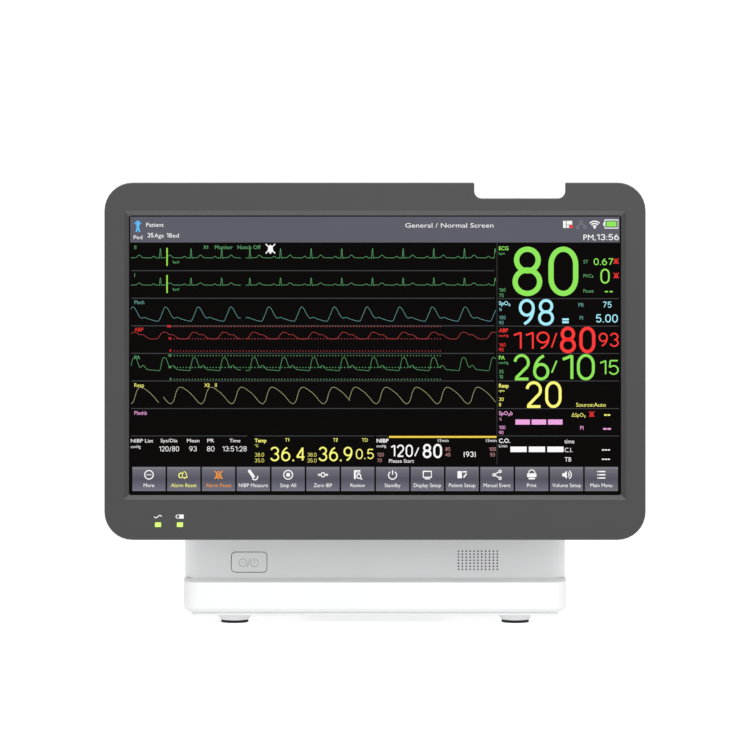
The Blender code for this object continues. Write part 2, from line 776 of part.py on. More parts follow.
def power_key():
    """The key slides into the host's front and presses the switch behind it."""
    at = Vector((KEY_X, HOST_FRONT_Y, HOST_Z + KEY_UP))
    axis = joint_axis("power_key_axis", at)
    outline = rectangle(KEY_W, KEY_H, KEY_R, steps=3)
    key = slab("power_key", outline, KEY_T, "white_plastic", "front", at, axis, front_r=KEY_EDGE_R, steps=1)
    inside_key = KEY_T / 2
    stem_at = at + Vector((0, inside_key, 0))
    join(key, cylinder("key_stem", KEY_STEM_R, inside_key + KEY_STEM, None, "front", stem_at, axis, steps=8))
    switch_y = HOST_FRONT_Y + KEY_T + KEY_STEM + KEY_TRAVEL + PLAY
    board_at = (KEY_X, switch_y + SWITCH_H, HOST_Z + KEY_UP)
    board = box("power_key_board", (KEY_W, KEY_H, BOARD_T), "board_green", "front", board_at)
    height = SWITCH_H + BOARD_T / 2
    switch = ((SWITCH, SWITCH, height), (0, 0, SWITCH_H - height / 2))
    join(board, boxes("key_switch", [switch], None, "front", board_at))


def loudspeaker():
    """A small round driver close behind the holes."""
    magnet_r = SPEAKER_R * 0.6
    profile = [
        (0.0, -CONE_D),
        (SPEAKER_R * 0.35, -CONE_D),
        (SPEAKER_R * 0.8, 0.0),
        (SPEAKER_R, 0.0),
        (SPEAKER_R, -CONE_D / 2),
        (magnet_r, -SPEAKER_D * 0.6),
        (magnet_r, -SPEAKER_D),
        (0.0, -SPEAKER_D),
    ]
    at = (SPEAKER_X, HOST_FRONT_Y + HOST_WALL + GAP, HOST_Z + SPEAKER_UP)
    turned("loudspeaker", profile, "black_plastic", "front", at)


def host_rear():
    shell = open_shell(
        "host_rear_shell",
        host_outline(),
        REAR_SHELL_D,
        HOST_WALL,
        "white_plastic",
        "front",
        (0, SEAM_Y + GAP, HOST_Z + HOST_H / 2),
        open_back=False,
        open_foot=True,
        back_r=HOST_EDGE_R,
        steps=6,
        skip=at_foot,
    )
    through = 2 * HOST_EDGE_R
    side_cuts = (
        ("module_bay", -1, MODULE_W, MODULE_H, MODULE_Z),
        ("aux_bay", -1, MODULE_W, AUX_H, LOW_BAY_Z),
        ("recorder_bay", 1, MODULE_W, RECORDER_H, RECORDER_Z),
        ("battery_bay", 1, MODULE_W, AUX_H, LOW_BAY_Z),
    )
    for name, side, width, height, z in side_cuts:
        opening = ((width + 2 * PLAY, height + 2 * PLAY, through), (0, 0, 0))
        face = "left" if side < 0 else "right"
        cut(shell, boxes(name, [opening], None, face, (side * HALF_HOST, BAY_Y, z)))
    hole_l = MODULE_W + 2 * STUB_L + 2 * PLAY
    hole_r = BATTERY_STUB_R + GAP
    cut(shell, rods("battery_stub_holes", [(0, 0)], hole_r, hole_l, "rear", BATTERY_HINGE, steps=8))
    io = ((IO_W + 2 * GAP, IO_H + 2 * GAP, through), (0, 0, 0))
    cut(shell, boxes("io_opening", [io], None, "rear", (IO_X, REAR_Y, IO_Z)))
    vents = [
        ((VENT_W, VENT_H, through), ((i - (VENT_COUNT - 1) / 2) * VENT_PITCH, 0, 0)) for i in range(VENT_COUNT)
    ]
    vent_z = HOST_TOP - VENT_FROM_TOP - VENT_H / 2
    cut(shell, boxes("vents", vents, None, "rear", (0, REAR_Y, vent_z)))


def carry_handle():
    """A fixed U over the host's top, with room for four fingers under its bar."""
    at = (0, SEAM_Y + GAP + HOST_CORNER_R, HOST_TOP + GAP)
    half = HANDLE_W / 2
    outer = [(-half, 0, 0), (half, 0, 0), (half, HANDLE_H, HANDLE_R), (-half, HANDLE_H, HANDLE_R)]
    inner_half = half - HANDLE_BAR
    inner_h = HANDLE_H - HANDLE_BAR
    inner_r = HANDLE_R / 2
    inner = [
        (-inner_half, -CUT_PAST, 0),
        (inner_half, -CUT_PAST, 0),
        (inner_half, inner_h, inner_r),
        (-inner_half, inner_h, inner_r),
    ]
    handle = slab("carry_handle", rounded(outer, 5), HANDLE_T, "grey_plastic", "front", at)
    before = Vector(at) - Vector((0, CUT_PAST, 0))
    cut(handle, slab("finger_gap", rounded(inner, 4), HANDLE_T + 2 * CUT_PAST, None, "front", before))
    bevel = handle.modifiers.new("grip edges", "BEVEL")
    bevel.width = HANDLE_GRIP_R
    bevel.segments = 3
    bevel.limit_method = "ANGLE"
    bevel.angle_limit = math.radians(60)


# ---------------------------------------------------------------- inside the host


def host_inside():
    inner_y = HOST_FRONT_Y + HOST_WALL
    chassis_y = inner_y + CHASSIS_BEHIND
    chassis_at = (0, chassis_y, PORT_Z)
    chassis_size = (MAIN_BOARD_W + 2 * CHASSIS_MARGIN, MAIN_BOARD_H + 2 * CHASSIS_MARGIN, CHASSIS_T)
    chassis = box("host_chassis", chassis_size, "sheet_metal", "front", chassis_at)
    ribs_y = FRAME_BACK_Y + 2 * GAP + CHASSIS_T + CHASSIS_RIB + GAP
    reach = chassis_y - ribs_y + CHASSIS_T / 2
    bracket = (PORT_W - 2 * BRACKET_CLEAR, PORT_H - 2 * BRACKET_CLEAR, reach)
    bracket_z = (reach - CHASSIS_T) / 2
    join(chassis, boxes("display_bracket", [(bracket, (0, 0, bracket_z))], None, "front", chassis_at))

    board_y = inner_y + BOARD_BEHIND
    board_at = (0, board_y, PORT_Z)
    board = box("main_board", (MAIN_BOARD_W, MAIN_BOARD_H, BOARD_T), "board_green", "front", board_at)
    chip_up = 0.010
    # width, height, thickness and place on the board
    chips = (
        (0.036, 0.036, CHIP_H, 0.000, chip_up),
        (0.020, 0.014, CHIP_H / 2, -0.050, -0.020),
        (0.014, 0.014, CHIP_H / 2, -0.050, 0.025),
        (0.040, 0.008, CHIP_H, 0.060, -0.048),
    )
    in_board = BOARD_T / 2
    blocks = [((w, h, t + in_board), (x, z, -in_board - (t + in_board) / 2)) for w, h, t, x, z in chips]
    join(board, boxes("chips", blocks, None, "front", board_at))

    sink_y = board_y + BOARD_T + CHIP_H + GAP
    pitch = (SINK_W - SINK_FIN_T) / (SINK_FINS - 1)
    outline = [(-SINK_W / 2, 0), (SINK_W / 2, 0)]
    for i in reversed(range(SINK_FINS)):
        left = -SINK_W / 2 + i * pitch
        outline += [(left + SINK_FIN_T, SINK_BASE + SINK_FIN), (left, SINK_BASE + SINK_FIN)]
        if i:
            outline += [(left, SINK_BASE), (left - pitch + SINK_FIN_T, SINK_BASE)]
    slab("heat_sink", outline, SINK_H, "sheet_metal", "top", (0, sink_y, PORT_Z + chip_up + SINK_H / 2))

    floor = IO_Z - SUPPLY_H / 2
    supply_x = MODULE_END_X + SUPPLY_BESIDE + SUPPLY_W / 2
    supply_at = (supply_x, REAR_Y - IO_D - SUPPLY_BEHIND - SUPPLY_D / 2, floor)
    supply = box("power_supply", (SUPPLY_W, SUPPLY_D, BOARD_T), "board_green", "top", supply_at)
    # length, depth, height and place along the board
    parts = (
        (0.034, 0.030, SUPPLY_H, -0.040),
        (0.022, 0.024, SUPPLY_H * 0.8, 0.010),
        (0.030, 0.030, SUPPLY_H * 0.7, 0.050),
    )
    blocks = [((w, d, h), (x, 0, h / 2 - in_board)) for w, d, h, x in parts]
    join(supply, boxes("supply_blocks", blocks, None, "top", supply_at))


# ---------------------------------------------------------------- base


def plan(inset):
    """The base seen from above: narrower in front, full width from the host's front back."""
    front = TRAY_FRONT_Y + inset
    rear = REAR_Y - inset
    wide = HALF_HOST - inset
    narrow = wide - TRAY_TAPER
    corners = [
        (-narrow, front, TRAY_FRONT_R - inset),
        (narrow, front, TRAY_FRONT_R - inset),
        (wide, HOST_FRONT_Y, WAIST_R),
        (wide, rear, HOST_EDGE_R - inset),
        (-wide, rear, HOST_EDGE_R - inset),
        (-wide, HOST_FRONT_Y, WAIST_R),
    ]
    return rounded(corners)


def base_tray():
    tray = slab(
        "base_tray", plan(0), TRAY_H, "white_plastic", "top", (0, 0, TRAY_TOP), back_r=TRAY_CHAMFER, steps=1
    )
    floor_z = TRAY_Z + TRAY_WALL
    ceiling = TRAY_TOP - TRAY_WALL
    cut(tray, slab("tray_hollow", plan(TRAY_WALL), ceiling - floor_z, None, "top", (0, 0, ceiling)))
    open_front = HOST_FRONT_Y + HOST_WALL + TRAY_WALL
    open_rear = REAR_Y - HOST_EDGE_R
    size = (HOST_W - 2 * HOST_EDGE_R, open_rear - open_front, 3 * TRAY_WALL)
    mouth_at = (0, (open_front + open_rear) / 2, TRAY_TOP)
    cut(tray, boxes("tray_mouth", [(size, (0, 0, 0))], None, "top", mouth_at))


def bottom():
    top = BOTTOM_Z + BOTTOM_COVER_T
    cover = slab("bottom_cover", plan(BOTTOM_INSET), BOTTOM_COVER_T, "white_plastic", "top", (0, 0, top))
    slot = (BASE_SLOT_L, VENT_W, 4 * BOTTOM_COVER_T)
    rows = [(i - (BASE_SLOTS - 1) / 2) * VENT_PITCH for i in range(BASE_SLOTS)]
    slots = [(slot, (x, y, 0)) for x in (-BASE_SLOT_X, BASE_SLOT_X) for y in rows]
    cut(cover, boxes("bottom_vents", slots, None, "top", (0, 0, BOTTOM_Z)))
    at = (0, 0, BOTTOM_Z - GAP)
    outline = rectangle(MOUNT_PLATE, MOUNT_PLATE, MOUNT_CORNER_R, steps=3)
    plate = slab("mounting_plate", outline, MOUNT_PLATE_T, "sheet_metal", "top", at)
    half = MOUNT_PITCH / 2
    corners = [(x, y) for x in (-half, half) for y in (-half, half)]
    cut(plate, rods("mounting_holes", corners, MOUNT_HOLE_R, 4 * MOUNT_PLATE_T, "top", at))


def feet():
    rows = (("front", FRONT_Y + FOOT_FROM_FRONT), ("rear", REAR_Y - FOOT_FROM_REAR))
    for row, y in rows:
        for side, x in (("left", FOOT_FROM_SIDE - HALF_HOST), ("right", HALF_HOST - FOOT_FROM_SIDE)):
            cylinder(
                f"foot_{row}_{side}",
                FOOT_PAD_R,
                FOOT_H,
                "grey_plastic",
                "top",
                (x, y, FOOT_Z + FOOT_H),
                top_r=FOOT_TOP_R,
                steps=20,
            )
            pad = f"foot_pad_{row}_{side}"
            cylinder(pad, FOOT_PAD_R - GAP, PAD_H, "rubber", "top", (x, y, PAD_H), steps=20)


# ---------------------------------------------------------------- modules


def on_module(module, x, y):
    """A place on a module's face, in the world, from its place across and up that face."""
    return (-HALF_HOST - MODULE_PROUD, BAY_Y - x, module["z"] + y)


def socket(name, radius, bore, depth, material, module, x, y):
    """A round socket with a flange in front and a blind bore."""
    neck = radius - FLANGE_LIP
    profile = [
        (0.0, -depth),
        (bore, -depth),
        (bore, FLANGE_T),
        (radius, FLANGE_T),
        (radius, GAP),
        (neck, GAP),
        (neck, -depth - SOCKET_BACK),
        (0.0, -depth - SOCKET_BACK),
    ]
    turned(name, profile, material, "left", on_module(module, x, y), module["axis"])
    round_hole(module, name, neck + GAP, x, y)


def nibp_nozzle(module):
    """The cuff hose pushes on to this barbed tube."""
    neck = NOZZLE_FLANGE_R - FLANGE_LIP
    profile = [
        (0.0, NOZZLE_FLANGE_T),
        (NOZZLE_BORE_R, NOZZLE_FLANGE_T),
        (NOZZLE_BORE_R, NOZZLE_L),
        (NOZZLE_R, NOZZLE_L),
        (NOZZLE_R + NOZZLE_BARB, NOZZLE_L * 0.85),
        (NOZZLE_R, NOZZLE_L * 0.75),
        (NOZZLE_R, NOZZLE_FLANGE_T),
        (NOZZLE_FLANGE_R, NOZZLE_FLANGE_T),
        (NOZZLE_FLANGE_R, GAP),
        (neck, GAP),
        (neck, -NOZZLE_L),
        (0.0, -NOZZLE_L),
    ]
    y = NOZZLE_UP - module["height"] / 2
    turned("nibp_nozzle", profile, "brass", "left", on_module(module, 0, y), module["axis"])
    round_hole(module, "nibp_nozzle", neck + GAP, 0, y)


def round_hole(module, name, radius, x, y):
    at = on_module(module, x, y)
    depth = 4 * MODULE_WALL
    cutter = rods(f"{name}_hole", [(0, 0)], radius, depth, "left", at, module["axis"], TURN_STEPS)
    cut(module["case"], cutter)


def plug_in_module(name, height, z):
    """The module's case: a box, open inwards, whose face stands a little proud of the host."""
    at = Vector((-HALF_HOST - MODULE_PROUD, BAY_Y, z))
    axis = joint_axis(f"{name}_axis", at)
    outline = rectangle(MODULE_W, height, MODULE_R, steps=3)
    case = slab(name, outline, MODULE_D, "white_plastic", "left", at, axis, front_r=MODULE_EDGE_R, steps=2)
    inner_size = (MODULE_W - 2 * MODULE_WALL, height - 2 * MODULE_WALL)
    inside = rectangle(*inner_size, MODULE_R - MODULE_WALL, steps=3)
    cut(case, slab(f"{name}_inside", inside, MODULE_D, None, "left", at + Vector((MODULE_WALL, 0, 0)), axis))
    return {"case": case, "axis": axis, "z": z, "height": height}


def module_latch(module, name):
    """A thumb catch low on the module's face, which slides up to free the module."""
    at = on_module(module, 0, LATCH_UP - module["height"] / 2)
    axis = joint_axis(f"{name}_axis", at)
    box(name, (LATCH_W, LATCH_H, LATCH_T), "grey_plastic", "left", at, axis, edge_r=LATCH_EDGE_R)
    size = (LATCH_W + 2 * PLAY, LATCH_H + 2 * PLAY + LATCH_TRAVEL, 4 * MODULE_WALL)
    slot = boxes(f"{name}_slot", [(size, (0, LATCH_TRAVEL / 2, 0))], None, "left", at, module["axis"])
    cut(module["case"], slot)


def modules():
    main = plug_in_module("parameter_module", MODULE_H, MODULE_Z)
    second = plug_in_module("auxiliary_module", AUX_H, LOW_BAY_Z)
    for module, sockets, down in ((main, MODULE_SOCKETS, TOP_ROW_DOWN), (second, AUX_SOCKETS, AUX_ROW_DOWN)):
        first_row = module["height"] / 2 - down
        for name, (radius, bore, depth, material, column, row) in sockets.items():
            socket(name, radius, bore, depth, material, module, column * COLUMN, first_row - row * ROW)
    nibp_nozzle(main)
    module_latch(main, "parameter_module_latch")
    module_latch(second, "auxiliary_module_latch")
    inner_x = -HALF_HOST - MODULE_PROUD + MODULE_WALL
    pump_z = MODULE_Z - MODULE_H / 2 + MODULE_WALL + PUMP_CLEAR + PUMP_R
    pump_at = (inner_x + PUMP_IN, BAY_Y, pump_z)
    cylinder("nibp_pump", PUMP_R, PUMP_L, "sheet_metal", "left", pump_at, main["axis"])


# ---------------------------------------------------------------- recorder and battery


def recorder():
    outer = (MODULE_W, RECORDER_H, RECORDER_D)
    at = (HALF_HOST, BAY_Y, RECORDER_Z)
    frame = box("recorder_frame", outer, "white_plastic", "right", at)
    wall = RECORDER_WALL
    inner = (MODULE_W - 2 * wall, RECORDER_H - 2 * wall, RECORDER_D - RECORDER_FACE - wall)
    cut(frame, box("recorder_hollow", inner, None, "right", (HALF_HOST - RECORDER_FACE, BAY_Y, RECORDER_Z)))
    door_w = MODULE_W - 2 * RECORDER_JAMB
    door_z = RECORDER_Z - RECORDER_H / 2 + RECORDER_JAMB  # the door's foot
    mouth = ((door_w + 2 * PLAY, RECORDER_DOOR_H + 2 * PLAY, 4 * RECORDER_FACE), (0, RECORDER_DOOR_H / 2, 0))
    cut(frame, boxes("recorder_mouth", [mouth], None, "right", (HALF_HOST, BAY_Y, door_z)))

    hinge = Vector((HALF_HOST - DOOR_T / 2, BAY_Y, door_z + DOOR_T / 2))
    stub_len = door_w + 2 * STUB_L
    hole_l = stub_len + 2 * PLAY
    cut(frame, rods("recorder_stub_holes", [(0, 0)], STUB_R + GAP, hole_l, "rear", hinge, steps=10))
    axis = joint_axis("recorder_door_axis", hinge)
    door = hinged_door("recorder_door", door_w, RECORDER_DOOR_H, DOOR_T, hinge, axis, STUB_R)
    platen_x = HALF_HOST - DOOR_T - PLATEN_R - 2 * PLAY
    platen_z = door_z + RECORDER_DOOR_H - PLATEN_DOWN
    in_door = DOOR_T / 2
    ear_l = in_door + HALF_HOST - DOOR_T - platen_x + PLATEN_SHAFT_R + EAR_MARGIN
    ear_y = PAPER_W / 2 + PLAY + EAR_T / 2
    ears = [((EAR_T, EAR_H, ear_l), (side * ear_y, 0, in_door - ear_l / 2)) for side in (-1, 1)]
    ear_at = Vector((HALF_HOST - DOOR_T, BAY_Y, platen_z))
    join(door, boxes("platen_ears", ears, None, "right", ear_at, axis))
    shaft_len = PAPER_W + 2 * PLAY + 2 * EAR_T
    platen = Vector((platen_x, BAY_Y, platen_z))
    bore_l = shaft_len + 2 * CUT_PAST
    cut(door, rods("platen_bore", [(0, 0)], PLATEN_SHAFT_R + GAP, bore_l, "rear", platen, axis, steps=10))

    roller_axis = joint_axis("platen_axis", platen, axis)
    roller_end = platen + Vector((0, PAPER_W / 2, 0))
    shaft_end = platen + Vector((0, shaft_len / 2, 0))
    roller = cylinder("platen_roller", PLATEN_R, PAPER_W, "rubber", "rear", roller_end, roller_axis, steps=14)
    shaft = cylinder("platen_shaft", PLATEN_SHAFT_R, shaft_len, None, "rear", shaft_end, roller_axis, steps=10)
    join(roller, shaft)

    head_x = platen_x - PLATEN_R - PLAY - HEAD_T
    head_at = (head_x + HEAD_T, BAY_Y, platen_z)
    box("print_head", (PAPER_W, HEAD_H, HEAD_T), "black_plastic", "right", head_at)

    roll_x = head_x - PAPER_R - PAPER_CLEAR
    roll_z = door_z + PAPER_R + PAPER_CLEAR
    roll_axis = joint_axis("paper_roll_axis", (roll_x, BAY_Y, roll_z))
    ring = [
        (PAPER_CORE_R, -PAPER_W / 2),
        (PAPER_CORE_R, PAPER_W / 2),
        (PAPER_R, PAPER_W / 2),
        (PAPER_R, -PAPER_W / 2),
    ]
    turned("paper_roll", ring, "paper", "rear", (roll_x, BAY_Y, roll_z), roll_axis)

    release_z = door_z + RECORDER_DOOR_H + (RECORDER_H - RECORDER_JAMB - RECORDER_DOOR_H) / 2
    release_at = Vector((HALF_HOST, BAY_Y, release_z))
    opening = ((RELEASE_W + 2 * PLAY, RELEASE_H + 2 * PLAY, 4 * RECORDER_FACE), (0, 0, 0))
    cut(frame, boxes("release_opening", [opening], None, "right", release_at))
    release_axis = joint_axis("recorder_release_axis", release_at)
    size = (RELEASE_W, RELEASE_H, RELEASE_T)
    button_at = release_at + Vector((RELEASE_PROUD, 0, 0))
    box("recorder_release", size, "grey_plastic", "right", button_at, release_axis, edge_r=RELEASE_EDGE_R)


def hinged_door(name, width, height, thickness, hinge, axis, stub_r):
    """A door whose foot is rounded about its hinge, with a stub at each end that turns in the jamb."""
    bm = bmesh.new()
    middle = (0, height / 2 - thickness / 2, 0)
    box_mesh(bm, (width, height, thickness), middle)
    low = [e for e in bm.edges if all(v.co.y < 0 for v in e.verts)]
    foot = [e for e in low if e.calc_length() > width / 2]
    bmesh.ops.bevel(bm, geom=foot, offset=thickness * 0.49, segments=4, profile=0.5, affect="EDGES")
    door = add(name, bm, "white_plastic", "right", hinge, axis)
    join(door, rods(f"{name}_stubs", [(0, 0)], stub_r, width + 2 * STUB_L, "rear", hinge, axis, steps=8))
    return door


def battery():
    axis = joint_axis("battery_door_axis", BATTERY_HINGE)
    hinged_door("battery_door", MODULE_W, AUX_H, BATTERY_DOOR_T, BATTERY_HINGE, axis, BATTERY_STUB_R)
    size = (MODULE_W - 2 * BATTERY_CLEAR, AUX_H - BATTERY_CLEAR, BATTERY_L)
    at = (HALF_HOST - BATTERY_DOOR_T - BATTERY_CLEAR, BAY_Y, LOW_BAY_Z)
    box("battery_pack", size, "battery_wrap", "right", at, edge_r=BATTERY_EDGE_R)


# ---------------------------------------------------------------- rear panel


def rear_panel():
    at = Vector((IO_X, REAR_Y, IO_Z))
    pan = open_shell(
        "io_panel", rectangle(IO_W, IO_H), IO_D, IO_WALL, "grey_plastic", "rear", at, open_back=False
    )
    floor_y = REAR_Y - IO_D + IO_WALL
    left = -IO_W / 2
    behind_floor = SIDE_MARGIN_REAR - (IO_D - IO_WALL) - PORT_CLEAR
    windows = []
    for name, (along, width, height, mouth_w, mouth_h, mouth_d, proud, material) in PORTS.items():
        x = left + along
        port_at = (IO_X - x, floor_y + proud, IO_Z)
        port = box(name, (width, height, proud + behind_floor), material, "rear", port_at)
        ups = (-USB_MOUTH_PITCH / 2, USB_MOUTH_PITCH / 2) if name == "usb_port" else (0,)
        mouths = [((mouth_w, mouth_h, 2 * mouth_d), (0, up, 0)) for up in ups]
        cut(port, boxes(f"{name}_mouth", mouths, None, "rear", port_at))
        windows.append(((width + 2 * GAP, height + 2 * GAP, 4 * IO_WALL), (x, 0, 0)))
    cut(pan, boxes("port_windows", windows, None, "rear", (IO_X, floor_y - IO_WALL / 2, IO_Z)))
    washer_r = 2 * POST_R
    profile = [
        (0.0, POST_L),
        (POST_R, POST_L),
        (POST_R, POST_WASHER_T),
        (washer_r, POST_WASHER_T),
        (washer_r, GAP),
        (POST_R, GAP),
        (POST_R, -POST_L),
        (0.0, -POST_L),
    ]
    post_at = (IO_X - left - POST_ALONG, floor_y, IO_Z)
    turned("ground_post", profile, "brass", "rear", post_at)
    cut(pan, rods("post_hole", [(0, 0)], POST_R + GAP, 4 * IO_WALL, "rear", post_at))


# ---------------------------------------------------------------- the monitor

clear_scene()
PARTS = new_collection("patient_monitor")
HELPERS = new_collection("cutters_and_joiners")

front_frame()
display_stack()
alarm_lamp()
status_lights()
display_rear()
host_front()
power_key()
loudspeaker()
host_rear()
carry_handle()
host_inside()
base_tray()
bottom()
feet()
modules()
recorder()
battery()
rear_panel()
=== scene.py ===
"""Finished surfaces of a bedside patient monitor: shells, running picture, lamps, bays and studio."""

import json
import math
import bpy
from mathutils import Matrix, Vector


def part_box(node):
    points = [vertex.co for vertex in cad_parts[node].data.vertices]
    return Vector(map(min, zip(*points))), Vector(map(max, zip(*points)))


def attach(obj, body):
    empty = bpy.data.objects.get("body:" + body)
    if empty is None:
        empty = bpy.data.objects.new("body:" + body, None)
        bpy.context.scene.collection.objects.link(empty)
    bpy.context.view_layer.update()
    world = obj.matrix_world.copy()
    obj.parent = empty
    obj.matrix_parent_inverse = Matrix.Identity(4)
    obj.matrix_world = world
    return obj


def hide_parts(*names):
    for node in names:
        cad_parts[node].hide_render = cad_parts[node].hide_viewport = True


bl_info = {
    "name": "Patient monitor",
    "version": (1, 0, 0),
    "blender": (4, 5, 0),
    "location": "3D Viewport > Sidebar > Monitor",
    "description": "Builds the finished surfaces of a bedside patient monitor around its solid model",
    "category": "Object",
}

import bmesh
import bpy
from bpy.props import FloatProperty, FloatVectorProperty, PointerProperty
from mathutils import Matrix, Vector

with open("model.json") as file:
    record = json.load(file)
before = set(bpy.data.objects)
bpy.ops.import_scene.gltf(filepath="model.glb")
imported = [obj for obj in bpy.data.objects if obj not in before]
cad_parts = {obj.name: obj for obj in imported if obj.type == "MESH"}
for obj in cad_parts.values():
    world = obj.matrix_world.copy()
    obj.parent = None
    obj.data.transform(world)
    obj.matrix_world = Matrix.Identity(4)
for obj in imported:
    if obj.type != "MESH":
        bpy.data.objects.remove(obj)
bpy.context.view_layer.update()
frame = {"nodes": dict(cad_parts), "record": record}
NODES = frame["nodes"]
BODIES = frame["record"]["behaviour"]["bodies"]
BODY_OF = {node: body for body, nodes in BODIES.items() for node in nodes}

MM = 0.001

# The picture's face, and the frame that everything on it is placed from.
GLASS_LOW, GLASS_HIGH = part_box("touch_glass")
FRAME_LOW, FRAME_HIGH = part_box("front_frame")
TRAY_LOW, TRAY_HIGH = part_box("base_tray")
BEZEL_SIDE = 21.1 * MM
BEZEL_TOP = 29.0 * MM
SCREEN_W = FRAME_HIGH.x - FRAME_LOW.x - 2 * BEZEL_SIDE
SCREEN_LEFT = -SCREEN_W / 2
SCREEN_DROP = 0.8 * MM  # of the picture below the bezel's edge
SCREEN_TOP = FRAME_HIGH.z - BEZEL_TOP - SCREEN_DROP
GLASS_FACE = GLASS_LOW.y

# Layers of the picture in front of the glass.
TILE_LIFT = 0.05 * MM
INK_LIFT = 0.10 * MM
PRINT_LIFT = 0.014 * MM  # printing on the shells

# Layout of the picture, in millimetres from the screen's upper left corner.
PICTURE_W = SCREEN_W / MM
BAR_H = 20.0
WAVES_W = 306.8
ROW_H = 23.07
ROW_LINES = [43.6 + ROW_H * row for row in range(7)]
GAP_LEFT, GAP_RIGHT = 92.6, 96.7
KEYS_TOP, KEYS_FOOT = 207.8, 228.0
KEY_FIRST, KEY_PITCH, KEY_WIDTH = 1.9, 29.12, 27.7
SQUEEZE = 0.95  # width of the lettering, as a share of the font's


# ---------------------------------------------------------------- settings


def colour(name, description, value):
    """A colour setting in linear values."""
    return FloatVectorProperty(
        name=name, description=description, default=value, size=3, min=0, max=1, subtype="COLOR"
    )


def srgb(red, green, blue):
    """Linear values of a colour given the way screens write it, 0 to 255."""
    parts = [channel / 255 for channel in (red, green, blue)]
    return tuple(p / 12.92 if p <= 0.04045 else ((p + 0.055) / 1.055) ** 2.4 for p in parts)


class ShellLook(bpy.types.PropertyGroup):
    """Finishes of the moulded and metal parts."""

    white: colour("White shells", "Colour of the light housings", (0.755, 0.758, 0.762))
    charcoal: colour("Front frame", "Colour of the dark frame", (0.0418, 0.0418, 0.0423))
    grey: colour("Grey parts", "Colour of handle, latches and feet", (0.40, 0.41, 0.43))
    black: colour("Black parts", "Colour of black mouldings", (0.018, 0.018, 0.019))
    edge_round: FloatProperty(
        name="Edge rounding", description="Radius of moulded edges", default=0.4 * MM, unit="LENGTH"
    )
    grain: FloatProperty(
        name="Grain", description="Size of the moulded grain", default=0.45 * MM, unit="LENGTH"
    )


class ScreenLook(bpy.types.PropertyGroup):
    """Colours of the running picture."""

    brightness: FloatProperty(name="Brightness", description="Light of the picture", default=1.0, min=0)
    bar: colour("Bar", "Title bar", srgb(88, 88, 99))
    green: colour("Heart", "Heart rate and its traces", srgb(140, 230, 85))
    trace: colour("Heart trace", "Line of the heart's traces", srgb(92, 168, 108))
    cyan: colour("Oxygen", "Oxygen saturation", srgb(165, 238, 250))
    teal: colour("Oxygen trace", "Line of the pulse trace", srgb(98, 160, 156))
    red: colour("Pressure", "Arterial pressure", srgb(250, 48, 46))
    yellow: colour("Breath", "Breathing and temperature", srgb(253, 250, 120))
    pink: colour("Second oxygen", "Second oxygen saturation", srgb(240, 165, 225))
    white: colour("White", "Plain lettering", srgb(250, 250, 250))


class StudioLook(bpy.types.PropertyGroup):
    """Light and floor of the studio."""

    floor: colour("Floor", "Colour of floor and backdrop", (0.35, 0.35, 0.35))
    lens: FloatProperty(name="Lens", description="Focal length in millimetres", default=115, min=1)
    distance: FloatProperty(
        name="Distance", description="Camera to the display's front", default=2.0, unit="LENGTH"
    )
    eye: FloatProperty(name="Eye height", description="Camera above the floor", default=0.2088, unit="LENGTH")
    overhead: FloatProperty(name="Overhead light", description="Power of the top light", default=20, min=0)
    fill: FloatProperty(name="Fill light", description="Power of the front light", default=16, min=0)
    sky: FloatProperty(name="Surround", description="Light of the room", default=0.75, min=0)
    floor_glow: FloatProperty(name="Floor glow", description="Light of floor and backdrop", default=0.72, min=0)


# ---------------------------------------------------------------- node trees


class Wire:
    """One socket in a node tree, which takes part in Python arithmetic."""

    def __init__(self, tree, socket=None):
        self.tree = tree
        self.socket = socket

    def node(self, kind, settings=None, sockets=None, output=0):
        """Adds a node, sets it up, feeds its sockets and returns one of its outputs."""
        made = self.tree.nodes.new(kind)
        for name, value in (settings or {}).items():
            if name == "stops":
                fill_ramp(made.color_ramp, value)
            else:
                setattr(made, name, value)
        for key, value in (sockets or {}).items():
            if isinstance(value, Wire):
                self.tree.links.new(value.socket, made.inputs[key])
            else:
                made.inputs[key].default_value = value
        return Wire(self.tree, made.outputs[output])

    def maths(self, operation, *values):
        """A Math node on these values."""
        return self.node("ShaderNodeMath", {"operation": operation}, dict(enumerate(values)))

    def __add__(self, other):
        return self.maths("ADD", self, other)

    def __radd__(self, other):
        return self.maths("ADD", other, self)

    def __sub__(self, other):
        return self.maths("SUBTRACT", self, other)

    def __rsub__(self, other):
        return self.maths("SUBTRACT", other, self)

    def __mul__(self, other):
        return self.maths("MULTIPLY", self, other)

    def __rmul__(self, other):
        return self.maths("MULTIPLY", other, self)

    def __truediv__(self, other):
        return self.maths("DIVIDE", self, other)

    def __mod__(self, other):
        return self.maths("MODULO", self, other)

    def vector(self, operation, *values, **sockets):
        """A Vector Math node on these values."""
        return self.node(
            "ShaderNodeVectorMath", {"operation": operation}, {**dict(enumerate(values)), **sockets}
        )

    def blend(self, first, second):
        """A colour between two colours, with this wire as the share of the second."""
        return self.node("ShaderNodeMix", {"data_type": "RGBA"}, {0: self, 6: first, 7: second}, output=2)

    def part(self, axis):
        """One component of a vector."""
        return self.node("ShaderNodeSeparateXYZ", None, {0: self}, output="XYZ".index(axis))


def fill_ramp(ramp, stops):
    """Sets a colour ramp's stops, each a place and a colour."""
    while len(ramp.elements) < len(stops):
        ramp.elements.new(1.0)
    for element, (place, shade) in zip(ramp.elements, stops):
        element.position = place
        element.color = opaque(shade)


def opaque(shade):
    """The colour with full alpha; a number gives a grey."""
    if isinstance(shade, (int, float)):
        shade = (shade, shade, shade)
    return (*shade[:3], 1.0)


def scaled(shade, factor):
    """A colour made lighter or darker."""
    return tuple(min(1.0, channel * factor) for channel in shade)


